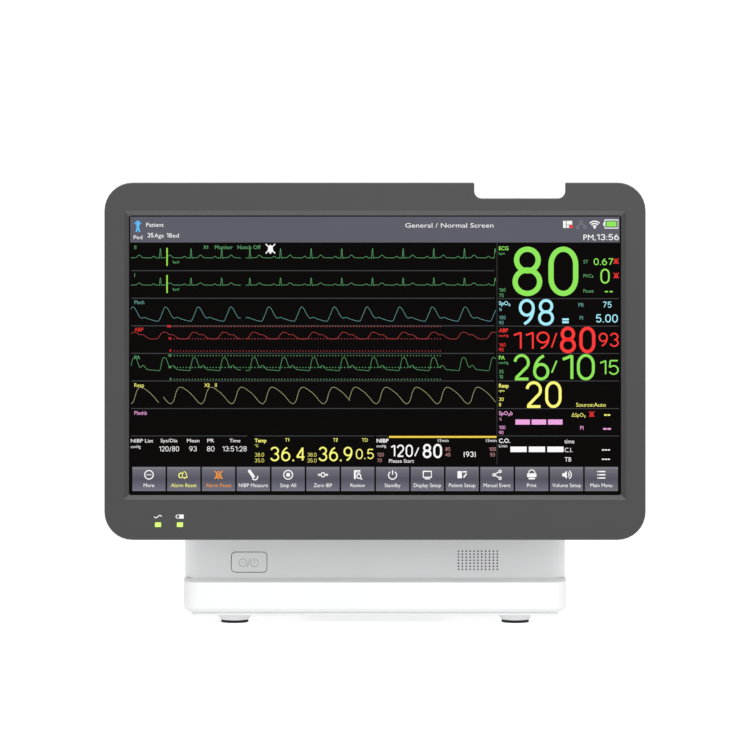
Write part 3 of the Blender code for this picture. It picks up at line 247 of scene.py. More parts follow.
class Finish:
    """A material with its shader and the coordinates of the piece."""

    def __init__(self, name, shade, roughness, metallic=0.0, **constants):
        self.material = bpy.data.materials.new(name)
        self.material.use_nodes = True
        self.material.diffuse_color = opaque(shade)
        tree = self.material.node_tree
        self.shader = tree.nodes["Principled BSDF"]
        self.tree = tree
        self.where = Wire(tree).node("ShaderNodeTexCoord", output=3)
        self.set("Base Color", opaque(shade))
        self.set("Roughness", roughness)
        self.set("Metallic", metallic)
        for name, value in constants.items():
            self.set(name.replace("_", " "), value)

    def set(self, socket, value):
        """Gives one of the shader's sockets a value or a wire."""
        if isinstance(value, Wire):
            self.tree.links.new(value.socket, self.shader.inputs[socket])
        else:
            self.shader.inputs[socket].default_value = value

    def noise(self, size, detail=2.0, roughness=0.5, stretch=(1, 1, 1)):
        """Noise from 0 to 1 with features of this size, in metres."""
        place = self.where.vector("MULTIPLY", self.where, tuple(s / size for s in stretch))
        return place.node(
            "ShaderNodeTexNoise",
            None,
            {"Vector": place, "Scale": 1.0, "Detail": detail, "Roughness": roughness},
        )

    def cells(self, size, feature="F1"):
        """Distance to the nearest point of a scatter of points this far apart."""
        place = self.where.vector("MULTIPLY", self.where, (1 / size, 1 / size, 1 / size))
        return place.node("ShaderNodeTexVoronoi", {"feature": feature}, {"Vector": place, "Scale": 1.0})

    def bump(self, height, strength, depth):
        """Raises the surface by a height from 0 to 1."""
        raised = height.node(
            "ShaderNodeBump", None, {"Height": height, "Strength": strength, "Distance": depth}
        )
        self.set("Normal", raised)


def moulded(name, shade, roughness=0.46, grain=None, depth=0.02 * MM, mottle=0.03, **constants):
    """Injection moulded plastic: fine eroded grain, slight flow clouds and a roughness that wanders."""
    grain = grain or bpy.context.scene.shell_look.grain
    made = Finish(name, shade, roughness, **constants)
    clouds = made.noise(60 * MM, detail=3.0)
    pits = made.noise(grain, detail=2.0, roughness=0.6)
    made.set("Base Color", clouds.blend(opaque(scaled(shade, 1 - mottle)), opaque(scaled(shade, 1 + mottle))))
    made.set("Roughness", roughness - 0.05 + clouds * 0.06 + pits * 0.05)
    made.bump(pits, 0.35, depth)
    return made.material


# Share of the painted highlight on the frame's slopes, by how steeply a face looks up or down.
SLOPE_HIGHLIGHT_STOPS = [(0.0, 0.0), (0.15, 0.0), (0.62, 1.0), (0.8, 1.0), (0.95, 0.25)]
SLOPE_HIGHLIGHT_GAIN = 2.35


def slope_highlight_paint(name, shade):
    """Dark moulded plastic whose up- and down-facing slopes carry a painted highlight, a lighter colour that
    stands in for the light they catch.
    """
    made = Finish(name, shade, 0.5, Specular_IOR_Level=0.35)
    clouds = made.noise(60 * MM, detail=3.0)
    pits = made.noise(bpy.context.scene.shell_look.grain, detail=2.0, roughness=0.6)
    facing = Wire(made.tree).node("ShaderNodeTexCoord", output=1).part("Z")
    height = facing.maths("ABSOLUTE", facing)
    painted_highlight = height.node("ShaderNodeValToRGB", {"stops": SLOPE_HIGHLIGHT_STOPS}, {0: height})
    flat = clouds.blend(opaque(scaled(shade, 0.98)), opaque(scaled(shade, 1.02)))
    # Painted highlight: slopes get a lighter base colour in place of the light that falls on them.
    made.set("Base Color", painted_highlight.blend(flat, opaque(scaled(shade, SLOPE_HIGHLIGHT_GAIN))))
    made.set("Roughness", 0.44 + clouds * 0.06 + pits * 0.05)
    made.bump(pits, 0.35, 0.02 * MM)
    return made.material


def metal(name, shade, roughness, brushed=(1, 1, 1), grain=0.3 * MM, mottle=0.06):
    """Metal with fine marks along one direction and clouds in its shine."""
    made = Finish(name, shade, roughness, metallic=1.0)
    marks = made.noise(grain, detail=3.0, stretch=brushed)
    clouds = made.noise(18 * MM, detail=3.0)
    made.set("Base Color", clouds.blend(opaque(scaled(shade, 1 - mottle)), opaque(scaled(shade, 1 + mottle))))
    made.set("Roughness", roughness - 0.08 + marks * 0.16)
    made.bump(marks, 0.25, 0.01 * MM)
    return made.material


def circuit_board(name):
    """Solder mask over copper: dark green with lighter tracks and pads."""
    made = Finish(name, (0.02, 0.13, 0.06), 0.35, Coat_Weight=0.3)
    tracks = made.cells(3.2 * MM, "DISTANCE_TO_EDGE")
    lines = tracks.node("ShaderNodeValToRGB", {"stops": [(0.0, 1.0), (0.09, 0.0)]}, {0: tracks})
    made.set("Base Color", lines.blend(opaque((0.012, 0.085, 0.04)), opaque((0.05, 0.24, 0.11))))
    made.set("Roughness", 0.3 + made.noise(6 * MM) * 0.14)
    made.bump(lines, 0.5, 0.03 * MM)
    return made.material


def dark_glass():
    """Cover glass of the screen, black while nothing glows behind it, with faint wiping marks."""
    made = Finish("screen_glass", (0.0012, 0.0006, 0.0006), 0.06, Specular_IOR_Level=0.03)
    wipes = made.noise(45 * MM, detail=4.0, stretch=(0.5, 1, 2))
    dust = made.noise(0.6 * MM, detail=1.0)
    made.set("Roughness", 0.045 + wipes * 0.05)
    made.set("Base Color", dust.blend(opaque((0.0008, 0.0005, 0.0005)), opaque((0.0022, 0.0012, 0.0012))))
    return made.material


def glow(name, shade, gradient=None):
    """Light of the screen's picture, with the slight unevenness of its back light."""
    strength = bpy.context.scene.screen_look.brightness
    made = Finish(name, (0.004, 0.004, 0.004), 0.3, Specular_IOR_Level=0.1)
    uneven = made.noise(90 * MM, detail=1.0) * 0.08 + 0.96
    if gradient is None:
        lit = uneven.blend(opaque(0.0), opaque(shade))
    else:
        foot, head, stops = gradient
        height = (made.where.part("Z") - foot) / (head - foot)
        lit = height.node("ShaderNodeValToRGB", {"stops": stops}, {0: height})
    made.set("Emission Color", lit)
    made.set("Emission Strength", strength)
    return made.material


def milky_lens():
    """Diffusing lens of the alarm lamp: milk white, with a faint painted glow that stands in for light scattered
    through it.
    """
    made = Finish("lamp_lens", (0.93, 0.93, 0.93), 0.28, Coat_Weight=0.25)
    depth = made.noise(9 * MM, detail=2.0)
    made.set("Base Color", depth.blend(opaque((0.90, 0.90, 0.90)), opaque((0.97, 0.97, 0.97))))
    made.set("Roughness", 0.24 + depth * 0.08)
    # Painted glow: a faint white emission in place of room light scattered through the lens.
    made.set("Emission Color", depth.blend(opaque(0.92), opaque(1.0)))
    made.set("Emission Strength", 0.16)
    return made.material


def lit_lens():
    """Yellow-green light guide that is lit from behind, brighter in its middle."""
    made = Finish("green_lens", srgb(170, 200, 90), 0.3, Coat_Weight=0.4)
    core = made.noise(2.2 * MM, detail=1.0)
    made.set("Emission Color", core.blend(opaque(srgb(176, 204, 78)), opaque(srgb(206, 226, 120))))
    made.set("Emission Strength", 0.45)
    return made.material


def coiled_paper():
    """Side of a paper roll: thin rings of paper."""
    made = Finish("paper", (0.86, 0.85, 0.82), 0.75)
    fibre = made.noise(0.5 * MM, detail=4.0)
    made.set("Base Color", fibre.blend(opaque((0.80, 0.79, 0.76)), opaque((0.90, 0.89, 0.87))))
    made.set("Roughness", 0.7 + fibre * 0.15)
    made.bump(fibre, 0.4, 0.02 * MM)
    return made.material


def shrink_wrap():
    """Battery sleeve: dark blue film with fine wrinkles."""
    made = Finish("battery_wrap", (0.02, 0.045, 0.12), 0.32, Coat_Weight=0.3)
    folds = made.noise(5 * MM, detail=3.0, stretch=(0.35, 1, 1))
    made.set("Base Color", folds.blend(opaque((0.015, 0.035, 0.10)), opaque((0.03, 0.06, 0.16))))
    made.bump(folds, 0.4, 0.15 * MM)
    return made.material


MADE = "finished"  # marks the finishes that are made here
BODY_SLOTS = {entry["slot"] for entry in frame["record"]["materials"]}


def make_finishes():
    """All finishes by their slot names."""
    look = bpy.context.scene.shell_look
    return {
        "white_shell": moulded("white_shell", look.white, 0.42),
        # The frame's finish paints a highlight on its up- and down-facing slopes.
        "charcoal_frame": slope_highlight_paint("charcoal_frame", look.charcoal),
        "grey_plastic": moulded("grey_plastic", look.grey, 0.48),
        "black_plastic": moulded("black_plastic", look.black, 0.45, mottle=0.1),
        "rubber": moulded(
            "rubber", (0.006, 0.006, 0.0062), 0.85, grain=0.25 * MM, depth=0.03 * MM, mottle=0.12
        ),
        "lamp_lens": milky_lens(),
        "green_lens": lit_lens(),
        "screen_glass": dark_glass(),
        "panel_black": moulded("panel_black", (0.01, 0.01, 0.012), 0.3, mottle=0.1),
        "panel_white": moulded("panel_white", (0.75, 0.75, 0.75), 0.5),
        "aluminium": metal("aluminium", (0.72, 0.73, 0.74), 0.38, brushed=(0.08, 1, 1)),
        "sheet_metal": metal("sheet_metal", (0.60, 0.61, 0.62), 0.34, grain=1.2 * MM),
        "brass": metal("brass", (0.74, 0.60, 0.32), 0.28, brushed=(1, 1, 0.2)),
        "circuit_board": circuit_board("circuit_board"),
        "paper": coiled_paper(),
        "battery_wrap": shrink_wrap(),
        "socket_green": moulded("socket_green", (0.03, 0.30, 0.13), 0.4, mottle=0.06),
        "socket_blue": moulded("socket_blue", (0.03, 0.16, 0.50), 0.4, mottle=0.06),
        "socket_red": moulded("socket_red", (0.48, 0.035, 0.03), 0.4, mottle=0.06),
        "socket_brown": moulded("socket_brown", (0.20, 0.09, 0.045), 0.4, mottle=0.06),
        "smoked_window": moulded("smoked_window", (0.03, 0.032, 0.035), 0.14, mottle=0.1, Coat_Weight=0.5),
        "label_film": moulded("label_film", (0.62, 0.63, 0.64), 0.4),
        "foot_plastic": moulded("foot_plastic", (0.70, 0.70, 0.71), 0.46),
        "key_marking": moulded("key_marking", (0.36, 0.36, 0.365), 0.5, mottle=0.05),
        "marking": moulded("marking", (0.09, 0.092, 0.095), 0.6, mottle=0.05),
        "pale_marking": moulded("pale_marking", (0.75, 0.75, 0.75), 0.6, mottle=0.05),
        "screw_steel": metal("screw_steel", (0.50, 0.50, 0.51), 0.3, grain=0.4 * MM),
        "gold_pin": metal("gold_pin", (0.83, 0.62, 0.28), 0.22, grain=0.2 * MM),
    }


def finish(name):
    """A finish by name, all of which are made on the first call."""
    if "white_shell" not in bpy.data.materials or MADE not in bpy.data.materials["white_shell"]:
        for old in [m for m in bpy.data.materials if m.name in BODY_SLOTS]:
            old.name = "cad_" + old.name
        for made in make_finishes().values():
            made[MADE] = True
    return bpy.data.materials[name]


# ---------------------------------------------------------------- mesh helpers

JOIN_WITHIN = 0.002 * MM  # corners this near are one
ROUND_FROM = math.radians(28)  # edges sharper than this are rounded
FLAT_COSINE = math.cos(math.radians(0.2))  # faces nearer than this in direction are one flat region
SHARP_COSINE = math.cos(math.radians(50))  # faces further apart in direction aren't shaded together
SLIVER_AREA = 0.002 * MM * MM  # smaller regions take their direction from a neighbour
FOLD_COSINE = -0.99  # faces this far turned from a neighbour lie upside down on it
FOLD_ROUNDS = 12
FOLD_GAIN = 0.95  # a turned edge has to leave less than this share of the fold


def show(name, mesh, body, material=None, stands_for=()):
    """Puts a finished mesh in the scene, hangs it on its body, gives it its material and hides the nodes that it
    stands for.
    """
    piece = bpy.data.objects.new(name, mesh)
    bpy.context.scene.collection.objects.link(piece)
    if material is not None:
        mesh.materials.clear()
        mesh.materials.append(material)
    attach(piece, body)
    if stands_for:
        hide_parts(*stands_for)


def evaluated_mesh(holder):
    """The plain mesh of an object with its modifiers worked in."""
    bpy.context.view_layer.update()
    graph = bpy.context.evaluated_depsgraph_get()
    return bpy.data.meshes.new_from_object(holder.evaluated_get(graph))


def temporary(name, mesh):
    """An object that only lives while a piece is made."""
    holder = bpy.data.objects.new(name, mesh)
    bpy.context.scene.collection.objects.link(holder)
    return holder


def discard(*holders):
    """Removes temporary objects."""
    for holder in holders:
        bpy.data.objects.remove(holder)


def merged_copy(node):
    """A CAD node's mesh with its loose triangles merged into one skin."""
    work = bmesh.new()
    work.from_mesh(NODES[node].data)
    bmesh.ops.remove_doubles(work, verts=work.verts, dist=JOIN_WITHIN)
    mesh = bpy.data.meshes.new(node + "_skin")
    work.to_mesh(mesh)
    work.free()
    return mesh


def weigh_edges(mesh, spared):
    """Marks the sharp edges to be rounded, without those inside a spared box."""
    work = bmesh.new()
    work.from_mesh(mesh)
    weight = work.edges.layers.float.new("bevel_weight_edge")
    for edge in work.edges:
        middle = (edge.verts[0].co + edge.verts[1].co) / 2
        inside = spared and all(low < here < high for low, here, high in zip(spared[0], middle, spared[1]))
        sharp = edge.is_manifold and edge.calc_face_angle() > ROUND_FROM
        edge[weight] = float(sharp and not inside)
    work.to_mesh(mesh)
    work.free()


def is_folded(edge):
    """Whether the faces on both sides of an edge lie upside down on each other."""
    faces = edge.link_faces
    return len(faces) == 2 and faces[0].normal.dot(faces[1].normal) <= FOLD_COSINE


def fold_between(edge):
    """Two triangles' far corners, the way up and the smaller one's area, where it lies upside down."""
    if not is_folded(edge) or any(len(face.verts) != 3 for face in edge.link_faces):
        return None
    small, large = sorted(edge.link_faces, key=lambda face: face.calc_area())
    ends = set(edge.verts)
    apex, opposite = (next(v for v in face.verts if v not in ends) for face in (small, large))
    return apex, opposite, large.normal, small.calc_area()


def folded_area(work):
    """The whole area of the faces that lie upside down on a larger neighbour."""
    return sum(min(face.calc_area() for face in edge.link_faces) for edge in work.edges if is_folded(edge))


def mend_folds(mesh):
    """Turns the edge under each folded triangle, so that flat faces stay flat where edges were rounded."""
    work = bmesh.new()
    work.from_mesh(mesh)
    before = folded_area(work)
    near = {face for edge in work.edges if is_folded(edge) for face in edge.link_faces}
    bmesh.ops.triangulate(work, faces=[face for face in near if len(face.verts) > 3])
    for _ in range(FOLD_ROUNDS):
        touched = set()
        for edge in list(work.edges):
            fold = fold_between(edge) if edge.is_valid and not touched & set(edge.verts) else None
            if not fold:
                continue
            apex, opposite, up, upturned = fold
            first, second = edge.verts
            sides = [
                (second.co - apex.co).cross(opposite.co - apex.co).dot(up),
                (opposite.co - apex.co).cross(first.co - apex.co).dot(up),
            ]
            joined = any(other.other_vert(apex) is opposite for other in apex.link_edges)
            over = -min(sides) if sum(sides) > 0 else max(sides)
            if joined or over / 2 > FOLD_GAIN * upturned:
                continue
            touched |= {apex, opposite, first, second}
            bmesh.utils.edge_rotate(edge)
        work.normal_update()
        if not touched:
            break
    if folded_area(work) < before and all(edge.is_manifold for edge in work.edges):
        work.to_mesh(mesh)
    work.free()


def flat_region_areas(work):
    """For each face, the area of the flat region that it lies in."""
    areas = [0.0] * len(work.faces)
    seen = set()
    for first in work.faces:
        if first.index in seen:
            continue
        region, waiting = [], [first]
        seen.add(first.index)
        while waiting:
            face = waiting.pop()
            region.append(face)
            for edge in face.edges:
                for other in edge.link_faces:
                    if other.index not in seen and other.normal.dot(first.normal) > FLAT_COSINE:
                        seen.add(other.index)
                        waiting.append(other)
        total = sum(face.calc_area() for face in region)
        for face in region:
            areas[face.index] = total
    return areas


def shade_by_area(mesh):
    """Shades a mesh smoothly, with its flat regions kept flat and its sharp edges kept sharp."""
    work = bmesh.new()
    work.from_mesh(mesh)
    areas = flat_region_areas(work)
    normals = []
    for face in work.faces:
        own = face.normal
        if areas[face.index] < SLIVER_AREA:
            around = [other for edge in face.edges for other in edge.link_faces]
            own = max(around, key=lambda other: areas[other.index]).normal
        for corner in face.loops:
            total = Vector()
            for other in corner.vert.link_faces:
                if other.normal.dot(own) > SHARP_COSINE:
                    total += other.normal * areas[other.index]
            normals.append(total.normalized() if total.length > 0 else own.copy())
    work.free()
    mesh.shade_smooth()
    mesh.normals_split_custom_set(normals)


def round_edges(mesh, radius, spared=None):
    """Rounds a mesh's sharp edges and shades what is left smoothly."""
    weigh_edges(mesh, spared)
    holder = temporary("rounding", mesh)
    bevel = holder.modifiers.new("edges", "BEVEL")
    bevel.width = radius
    bevel.segments = 2
    bevel.limit_method = "WEIGHT"
    bevel.miter_outer = "MITER_ARC"
    bevel.use_clamp_overlap = False
    bevel.loop_slide = False
    made = evaluated_mesh(holder)
    discard(holder)
    mend_folds(made)
    shade_by_area(made)
    return made


def slot_of(node):
    """The material slot of a CAD node."""
    return NODES[node].data.materials[0].name.replace("cad_", "")


def refined(node, radius=None, spared=None, paint=None, wells=()):
    """A CAD node with rounded edges and its own finish, which stands for the node."""
    slot = slot_of(node)
    radius = radius or bpy.context.scene.shell_look.edge_round
    mesh = round_edges(merged_copy(node), radius, spared)
    if wells:
        mesh = bored(mesh, wells)
    show(node + "_skin", mesh, BODY_OF[node], finish(paint or slot), (node,))


def cut_by(mesh, cutter):
    """A mesh without the space that another takes up."""
    holder, tool = temporary("cut", mesh), temporary("tool", cutter)
    cut = holder.modifiers.new("cut", "BOOLEAN")
    cut.operation = "DIFFERENCE"
    cut.object = tool
    made = evaluated_mesh(holder)
    discard(holder, tool)
    return made


def bored(mesh, wells):
    """The mesh with round wells, each a point, the direction that it opens to, a radius and a depth."""
    cutter = bmesh.new()
    for at, direction, radius, depth in wells:
        turn = Vector(direction).to_track_quat("Z", "Y").to_matrix().to_4x4()
        place = Matrix.Translation(Vector(at)) @ turn
        bmesh.ops.create_cone(
            cutter, cap_ends=True, segments=24, radius1=radius, radius2=radius, depth=2 * depth, matrix=place
        )
    drill_mesh = bpy.data.meshes.new("drill")
    cutter.to_mesh(drill_mesh)
    cutter.free()
    made = cut_by(mesh, drill_mesh)
    shade_by_area(made)
    return made


def carried(node):
    """Gives a CAD node that is shown as it is a finished material."""
    material = finish(slot_of(node))
    for place in NODES[node].material_slots:
        place.material = material


# ---------------------------------------------------------------- repeated pieces

ROW_INPUTS = {
    "Piece": "NodeSocketObject",
    "Columns": "NodeSocketInt",
    "Rows": "NodeSocketInt",
    "Start": "NodeSocketVector",
    "Column Step": "NodeSocketVector",
    "Row Step": "NodeSocketVector",
    "Material": "NodeSocketMaterial",
}
MARK_INPUTS = {"Marks": "NodeSocketGeometry", "Piece": "NodeSocketObject", "Material": "NodeSocketMaterial"}


def new_tree(name, inputs):
    """A geometry tree with named inputs; gives the tree, its input wires and their identifiers."""
    tree = bpy.data.node_groups.new(name, "GeometryNodeTree")
    identifiers = {
        title: tree.interface.new_socket(name=title, in_out="INPUT", socket_type=kind).identifier
        for title, kind in inputs.items()
    }
    tree.interface.new_socket(name="Geometry", in_out="OUTPUT", socket_type="NodeSocketGeometry")
    given = tree.nodes.new("NodeGroupInput")
    wires = {title: Wire(tree, given.outputs[title]) for title in inputs}
    return tree, wires, identifiers


def end_tree(tree, points, wires, **turn):
    """Puts the piece on each point, makes the copies real and gives them their material."""
    shape = points.node(
        "GeometryNodeObjectInfo", {"transform_space": "ORIGINAL"}, {"Object": wires["Piece"]}, output=4
    )
    copies = points.node("GeometryNodeInstanceOnPoints", None, {"Points": points, "Instance": shape, **turn})
    real = copies.node("GeometryNodeRealizeInstances", None, {0: copies})
    done = real.node("GeometryNodeSetMaterial", None, {"Geometry": real, "Material": wires["Material"]})
    tree.links.new(done.socket, tree.nodes.new("NodeGroupOutput").inputs[0])


def rows_tree():
    """Pieces in rows and columns."""
    tree, wires, identifiers = new_tree("pieces_in_rows", ROW_INPUTS)
    start = Wire(tree)
    index = start.node("GeometryNodeInputIndex")
    column = index % wires["Columns"]
    share = index / wires["Columns"]
    row = share.maths("FLOOR", share)
    along = start.vector("SCALE", wires["Column Step"], Scale=column)
    down = start.vector("SCALE", wires["Row Step"], Scale=row)
    place = start.vector("ADD", wires["Start"], start.vector("ADD", along, down))
    count = wires["Columns"] * wires["Rows"]
    points = start.node("GeometryNodePoints", None, {"Count": count, "Position": place})
    end_tree(tree, points, wires)
    return tree, identifiers


def marks_tree():
    """Pieces on marked points, each turned to face its mark's way."""
    tree, wires, identifiers = new_tree("pieces_on_marks", MARK_INPUTS)
    facing = Wire(tree).node(
        "GeometryNodeInputNamedAttribute", {"data_type": "FLOAT_VECTOR"}, {"Name": "facing"}
    )
    turn = facing.node("FunctionNodeAlignRotationToVector", {"axis": "Z"}, {"Vector": facing})
    points = facing.node("GeometryNodeMeshToPoints", None, {"Mesh": wires["Marks"]})
    end_tree(tree, points, wires, Rotation=turn)
    return tree, identifiers


TREES = {}


def grown(name, builder, base, values):
    """The mesh that a geometry tree makes with these named values."""
    if name not in TREES:
        TREES[name] = builder()
    tree, identifiers = TREES[name]
    holder = temporary("growing", base)
    modifier = holder.modifiers.new("tree", "NODES")
    modifier.node_group = tree
    for title, value in values.items():
        modifier[identifiers[title]] = value
    mesh = evaluated_mesh(holder)
    holder.modifiers.remove(modifier)
    discard(holder)
    return mesh


def in_rows(unit, material, columns, rows, start, column_step, row_step=(0, 0, 0)):
    """A mesh of equal shapes in rows and columns."""
    piece = temporary("unit", unit)
    mesh = grown(
        "pieces_in_rows",
        rows_tree,
        bpy.data.meshes.new("rows"),
        {
            "Piece": piece,
            "Columns": columns,
            "Rows": rows,
            "Start": tuple(start),
            "Column Step": tuple(column_step),
            "Row Step": tuple(row_step),
            "Material": material,
        },
    )
    discard(piece)
    return mesh


def on_marks(unit, material, marks):
    """A mesh of equal shapes on marks, each a point and the direction that the shape faces."""
    piece = temporary("unit", unit)
    base = bpy.data.meshes.new("marks")
    base.from_pydata([tuple(point) for point, _ in marks], [], [])
    facing = base.attributes.new("facing", "FLOAT_VECTOR", "POINT")
    for entry, (_, direction) in zip(facing.data, marks):
        entry.vector = direction
    mesh = grown("pieces_on_marks", marks_tree, base, {"Piece": piece, "Material": material})
    discard(piece)
    return mesh


# ---------------------------------------------------------------- the running picture


class Plane:
    """A face to draw on: its starting point, the directions across and out of it; down is always -Z."""

    def __init__(self, start, across, out):
        self.start = Vector(start)
        self.across = Vector(across)
        self.out = Vector(out)


SCREEN = Plane((SCREEN_LEFT, GLASS_FACE, SCREEN_TOP), (1, 0, 0), (0, -1, 0))
SIDES = {
    "left": ((0, -1, 0), (-1, 0, 0)),
    "right": ((0, 1, 0), (1, 0, 0)),
    "front": ((1, 0, 0), (0, -1, 0)),
    "rear": ((-1, 0, 0), (0, 1, 0)),
}


def face_of(node, side):
    """The outer face of a node on one side, which starts in its middle."""
    low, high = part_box(node)
    across, out = SIDES[side]
    out = Vector(out)
    middle = (low + high) / 2
    reach = (high - low) / 2
    start = middle + Vector([out[i] * reach[i] for i in range(3)])
    return Plane(start, across, out)


class Ink:
    """Flat shapes of one colour on a face, placed in millimetres across and down from its start."""

    def __init__(self, name, lift=INK_LIFT, thickness=0.04 * MM, plane=SCREEN):
        self.name = name
        self.lift = lift
        self.thickness = thickness
        self.plane = plane
        self.work = bmesh.new()
        self.words = []

    def at(self, across, down, lift):
        """A point on the face in the model's frame."""
        plane = self.plane
        return plane.start + plane.across * (across * MM) + plane.out * lift - Vector((0, 0, down * MM))

    def plate(self, corners):
        """A thin plate with these corners."""
        front = [self.work.verts.new(self.at(x, y, self.lift)) for x, y in corners]
        back = [self.work.verts.new(self.at(x, y, self.lift - self.thickness)) for x, y in corners]
        self.work.faces.new(front)
        self.work.faces.new(back[::-1])
        for i in range(len(corners)):
            j = (i + 1) % len(corners)
            self.work.faces.new((front[j], front[i], back[i], back[j]))

    def box(self, left, top, right, foot):
        """A rectangle."""
        self.plate([(left, top), (right, top), (right, foot), (left, foot)])

    def bar(self, x0, y0, x1, y1, width):
        """A straight stroke."""
        along = Vector((x1 - x0, y1 - y0)).normalized() * width / 2
        across = Vector((-along.y, along.x))
        ends = [(x0, y0), (x1, y1)]
        corners = [
            (ends[0][0] + across.x, ends[0][1] + across.y),
            (ends[1][0] + across.x, ends[1][1] + across.y),
            (ends[1][0] - across.x, ends[1][1] - across.y),
            (ends[0][0] - across.x, ends[0][1] - across.y),
        ]
        self.plate(corners)

    def dot(self, x, y, radius, steps=16):
        """A disc."""
        turns = [2 * math.pi * i / steps for i in range(steps)]
        self.plate([(x + radius * math.cos(t), y + radius * math.sin(t)) for t in turns])

    def line(self, points, width, closed=False):
        """A stroke that follows points, with mitred bends."""
        sides = []
        count = len(points)
        for i, here in enumerate(points):
            before = Vector(points[(i - 1) % count if closed else max(i - 1, 0)])
            after = Vector(points[(i + 1) % count if closed else min(i + 1, count - 1)])
            along = (after - before).normalized()
            offset = Vector((-along.y, along.x)) * width / 2
            sides.append((Vector(here) + offset, Vector(here) - offset))
        rings = []
        for left, right in sides:
            corners = [(left, self.lift), (right, self.lift)]
            corners += [(right, self.lift - self.thickness), (left, self.lift - self.thickness)]
            rings.append([self.work.verts.new(self.at(p.x, p.y, lift)) for p, lift in corners])
        following = rings[1:] + rings[:1] if closed else rings[1:]
        for first, second in zip(rings, following):
            for i in range(4):
                j = (i + 1) % 4
                self.work.faces.new((first[i], first[j], second[j], second[i]))
        if not closed:
            self.work.faces.new(rings[0][::-1])
            self.work.faces.new(rings[-1])

    def arc(self, x, y, radius, width, start=0.0, end=360.0, steps=24):
        """A curved stroke; angles run clockwise from the right, in degrees."""
        turns = [math.radians(start + (end - start) * i / steps) for i in range(steps + 1)]
        self.line([(x + radius * math.cos(t), y + radius * math.sin(t)) for t in turns], width)

    def write(self, words, left, baseline, cap, right=None, weight=0.0, align="LEFT"):
        """Lettering with this cap height; a right edge stretches it to fit."""
        self.words.append((words, left, baseline, cap, right, weight, align))

    def figures(self, words, left, baseline, cap, right=None, stroke=0.107):
        """Numbers drawn with even strokes; a right edge stretches them to fit."""
        pen = stroke * cap
        gap = FIGURE_GAP * cap
        widths = [FIGURE_WIDTHS.get(sign, FIGURE_WIDTH) * cap for sign in words]
        natural = sum(widths) + gap * (len(words) - 1)
        stretch = 1.0 if right is None else (right - left) / natural
        x = left
        for sign, width in zip(words, widths):
            wide = width * stretch - pen
            for points, closed in figure_strokes(sign, max(wide, 0.01), cap - pen):
                self.line([(x + pen / 2 + a, baseline - pen / 2 - b) for a, b in points], pen, closed)
            x += (width + gap) * stretch

    def set_words(self):
        """Adds the lettering to the shapes."""
        holders = []
        for words, *_, weight, _ in self.words:
            curve = bpy.data.curves.new("words", "FONT")
            curve.body = words
            curve.resolution_u = 3
            curve.offset = weight
            holders.append(temporary("words", curve))
        for holder, (_, left, baseline, cap, right, _, align) in zip(holders, self.words):
            mesh = evaluated_mesh(holder)
            low = min(v.co.x for v in mesh.vertices)
            high = max(v.co.x for v in mesh.vertices)
            tall = cap / CAP_SHARE
            wide = tall * SQUEEZE if right is None else (right - left) / (high - low)
            shift = left
            if align == "CENTER":
                shift = left - (high - low) * wide / 2
            if align == "RIGHT":
                shift = left - (high - low) * wide
            places = [(shift + (v.co.x - low) * wide, baseline - v.co.y * tall) for v in mesh.vertices]
            self.add_flat(mesh, places)
        discard(*holders)
        self.words = []

    def add_flat(self, mesh, places):
        """Adds a flat mesh whose corners lie at these places, as a thin plate."""
        front = [self.work.verts.new(self.at(x, y, self.lift)) for x, y in places]
        faces = []
        for polygon in mesh.polygons:
            corners = [front[i] for i in polygon.vertices]
            if polygon.normal.z > 0:
                corners.reverse()
            faces.append(self.work.faces.new(corners))
        made = bmesh.ops.extrude_face_region(self.work, geom=faces, use_keep_orig=True)
        moved = [item for item in made["geom"] if isinstance(item, bmesh.types.BMVert)]
        bmesh.ops.translate(self.work, verts=moved, vec=-self.plane.out * self.thickness)

    def finish(self, material, body="host", slot="screen_glass"):
        """Turns the shapes into a piece that rides on a body."""
        self.set_words()
        bmesh.ops.recalc_face_normals(self.work, faces=self.work.faces)
        mesh = bpy.data.meshes.new(self.name)
        self.work.to_mesh(mesh)
        self.work.free()
        return show(self.name, mesh, body, material)


def printing(name, plane, lift=PRINT_LIFT):
    """Shapes that are printed on a shell."""
    return Ink(name, lift, 0.012 * MM, plane)


CAP_SHARE = 0.729  # height of a capital letter in the font, of its size

# Widths of the figures and the gap between them, as shares of their height.
FIGURE_WIDTH = 0.59
FIGURE_WIDTHS = {"1": 0.42, ".": 0.13, ":": 0.13, "/": 0.42, "(": 0.22, ")": 0.22}
FIGURE_GAP = 0.12


def oval(x, y, across, up, start, end, steps=14):
    """Points on an oval arc; angles run anticlockwise from the right, in degrees."""
    turns = [math.radians(start + (end - start) * i / steps) for i in range(steps + 1)]
    return [(x + across * math.cos(t), y + up * math.sin(t)) for t in turns]


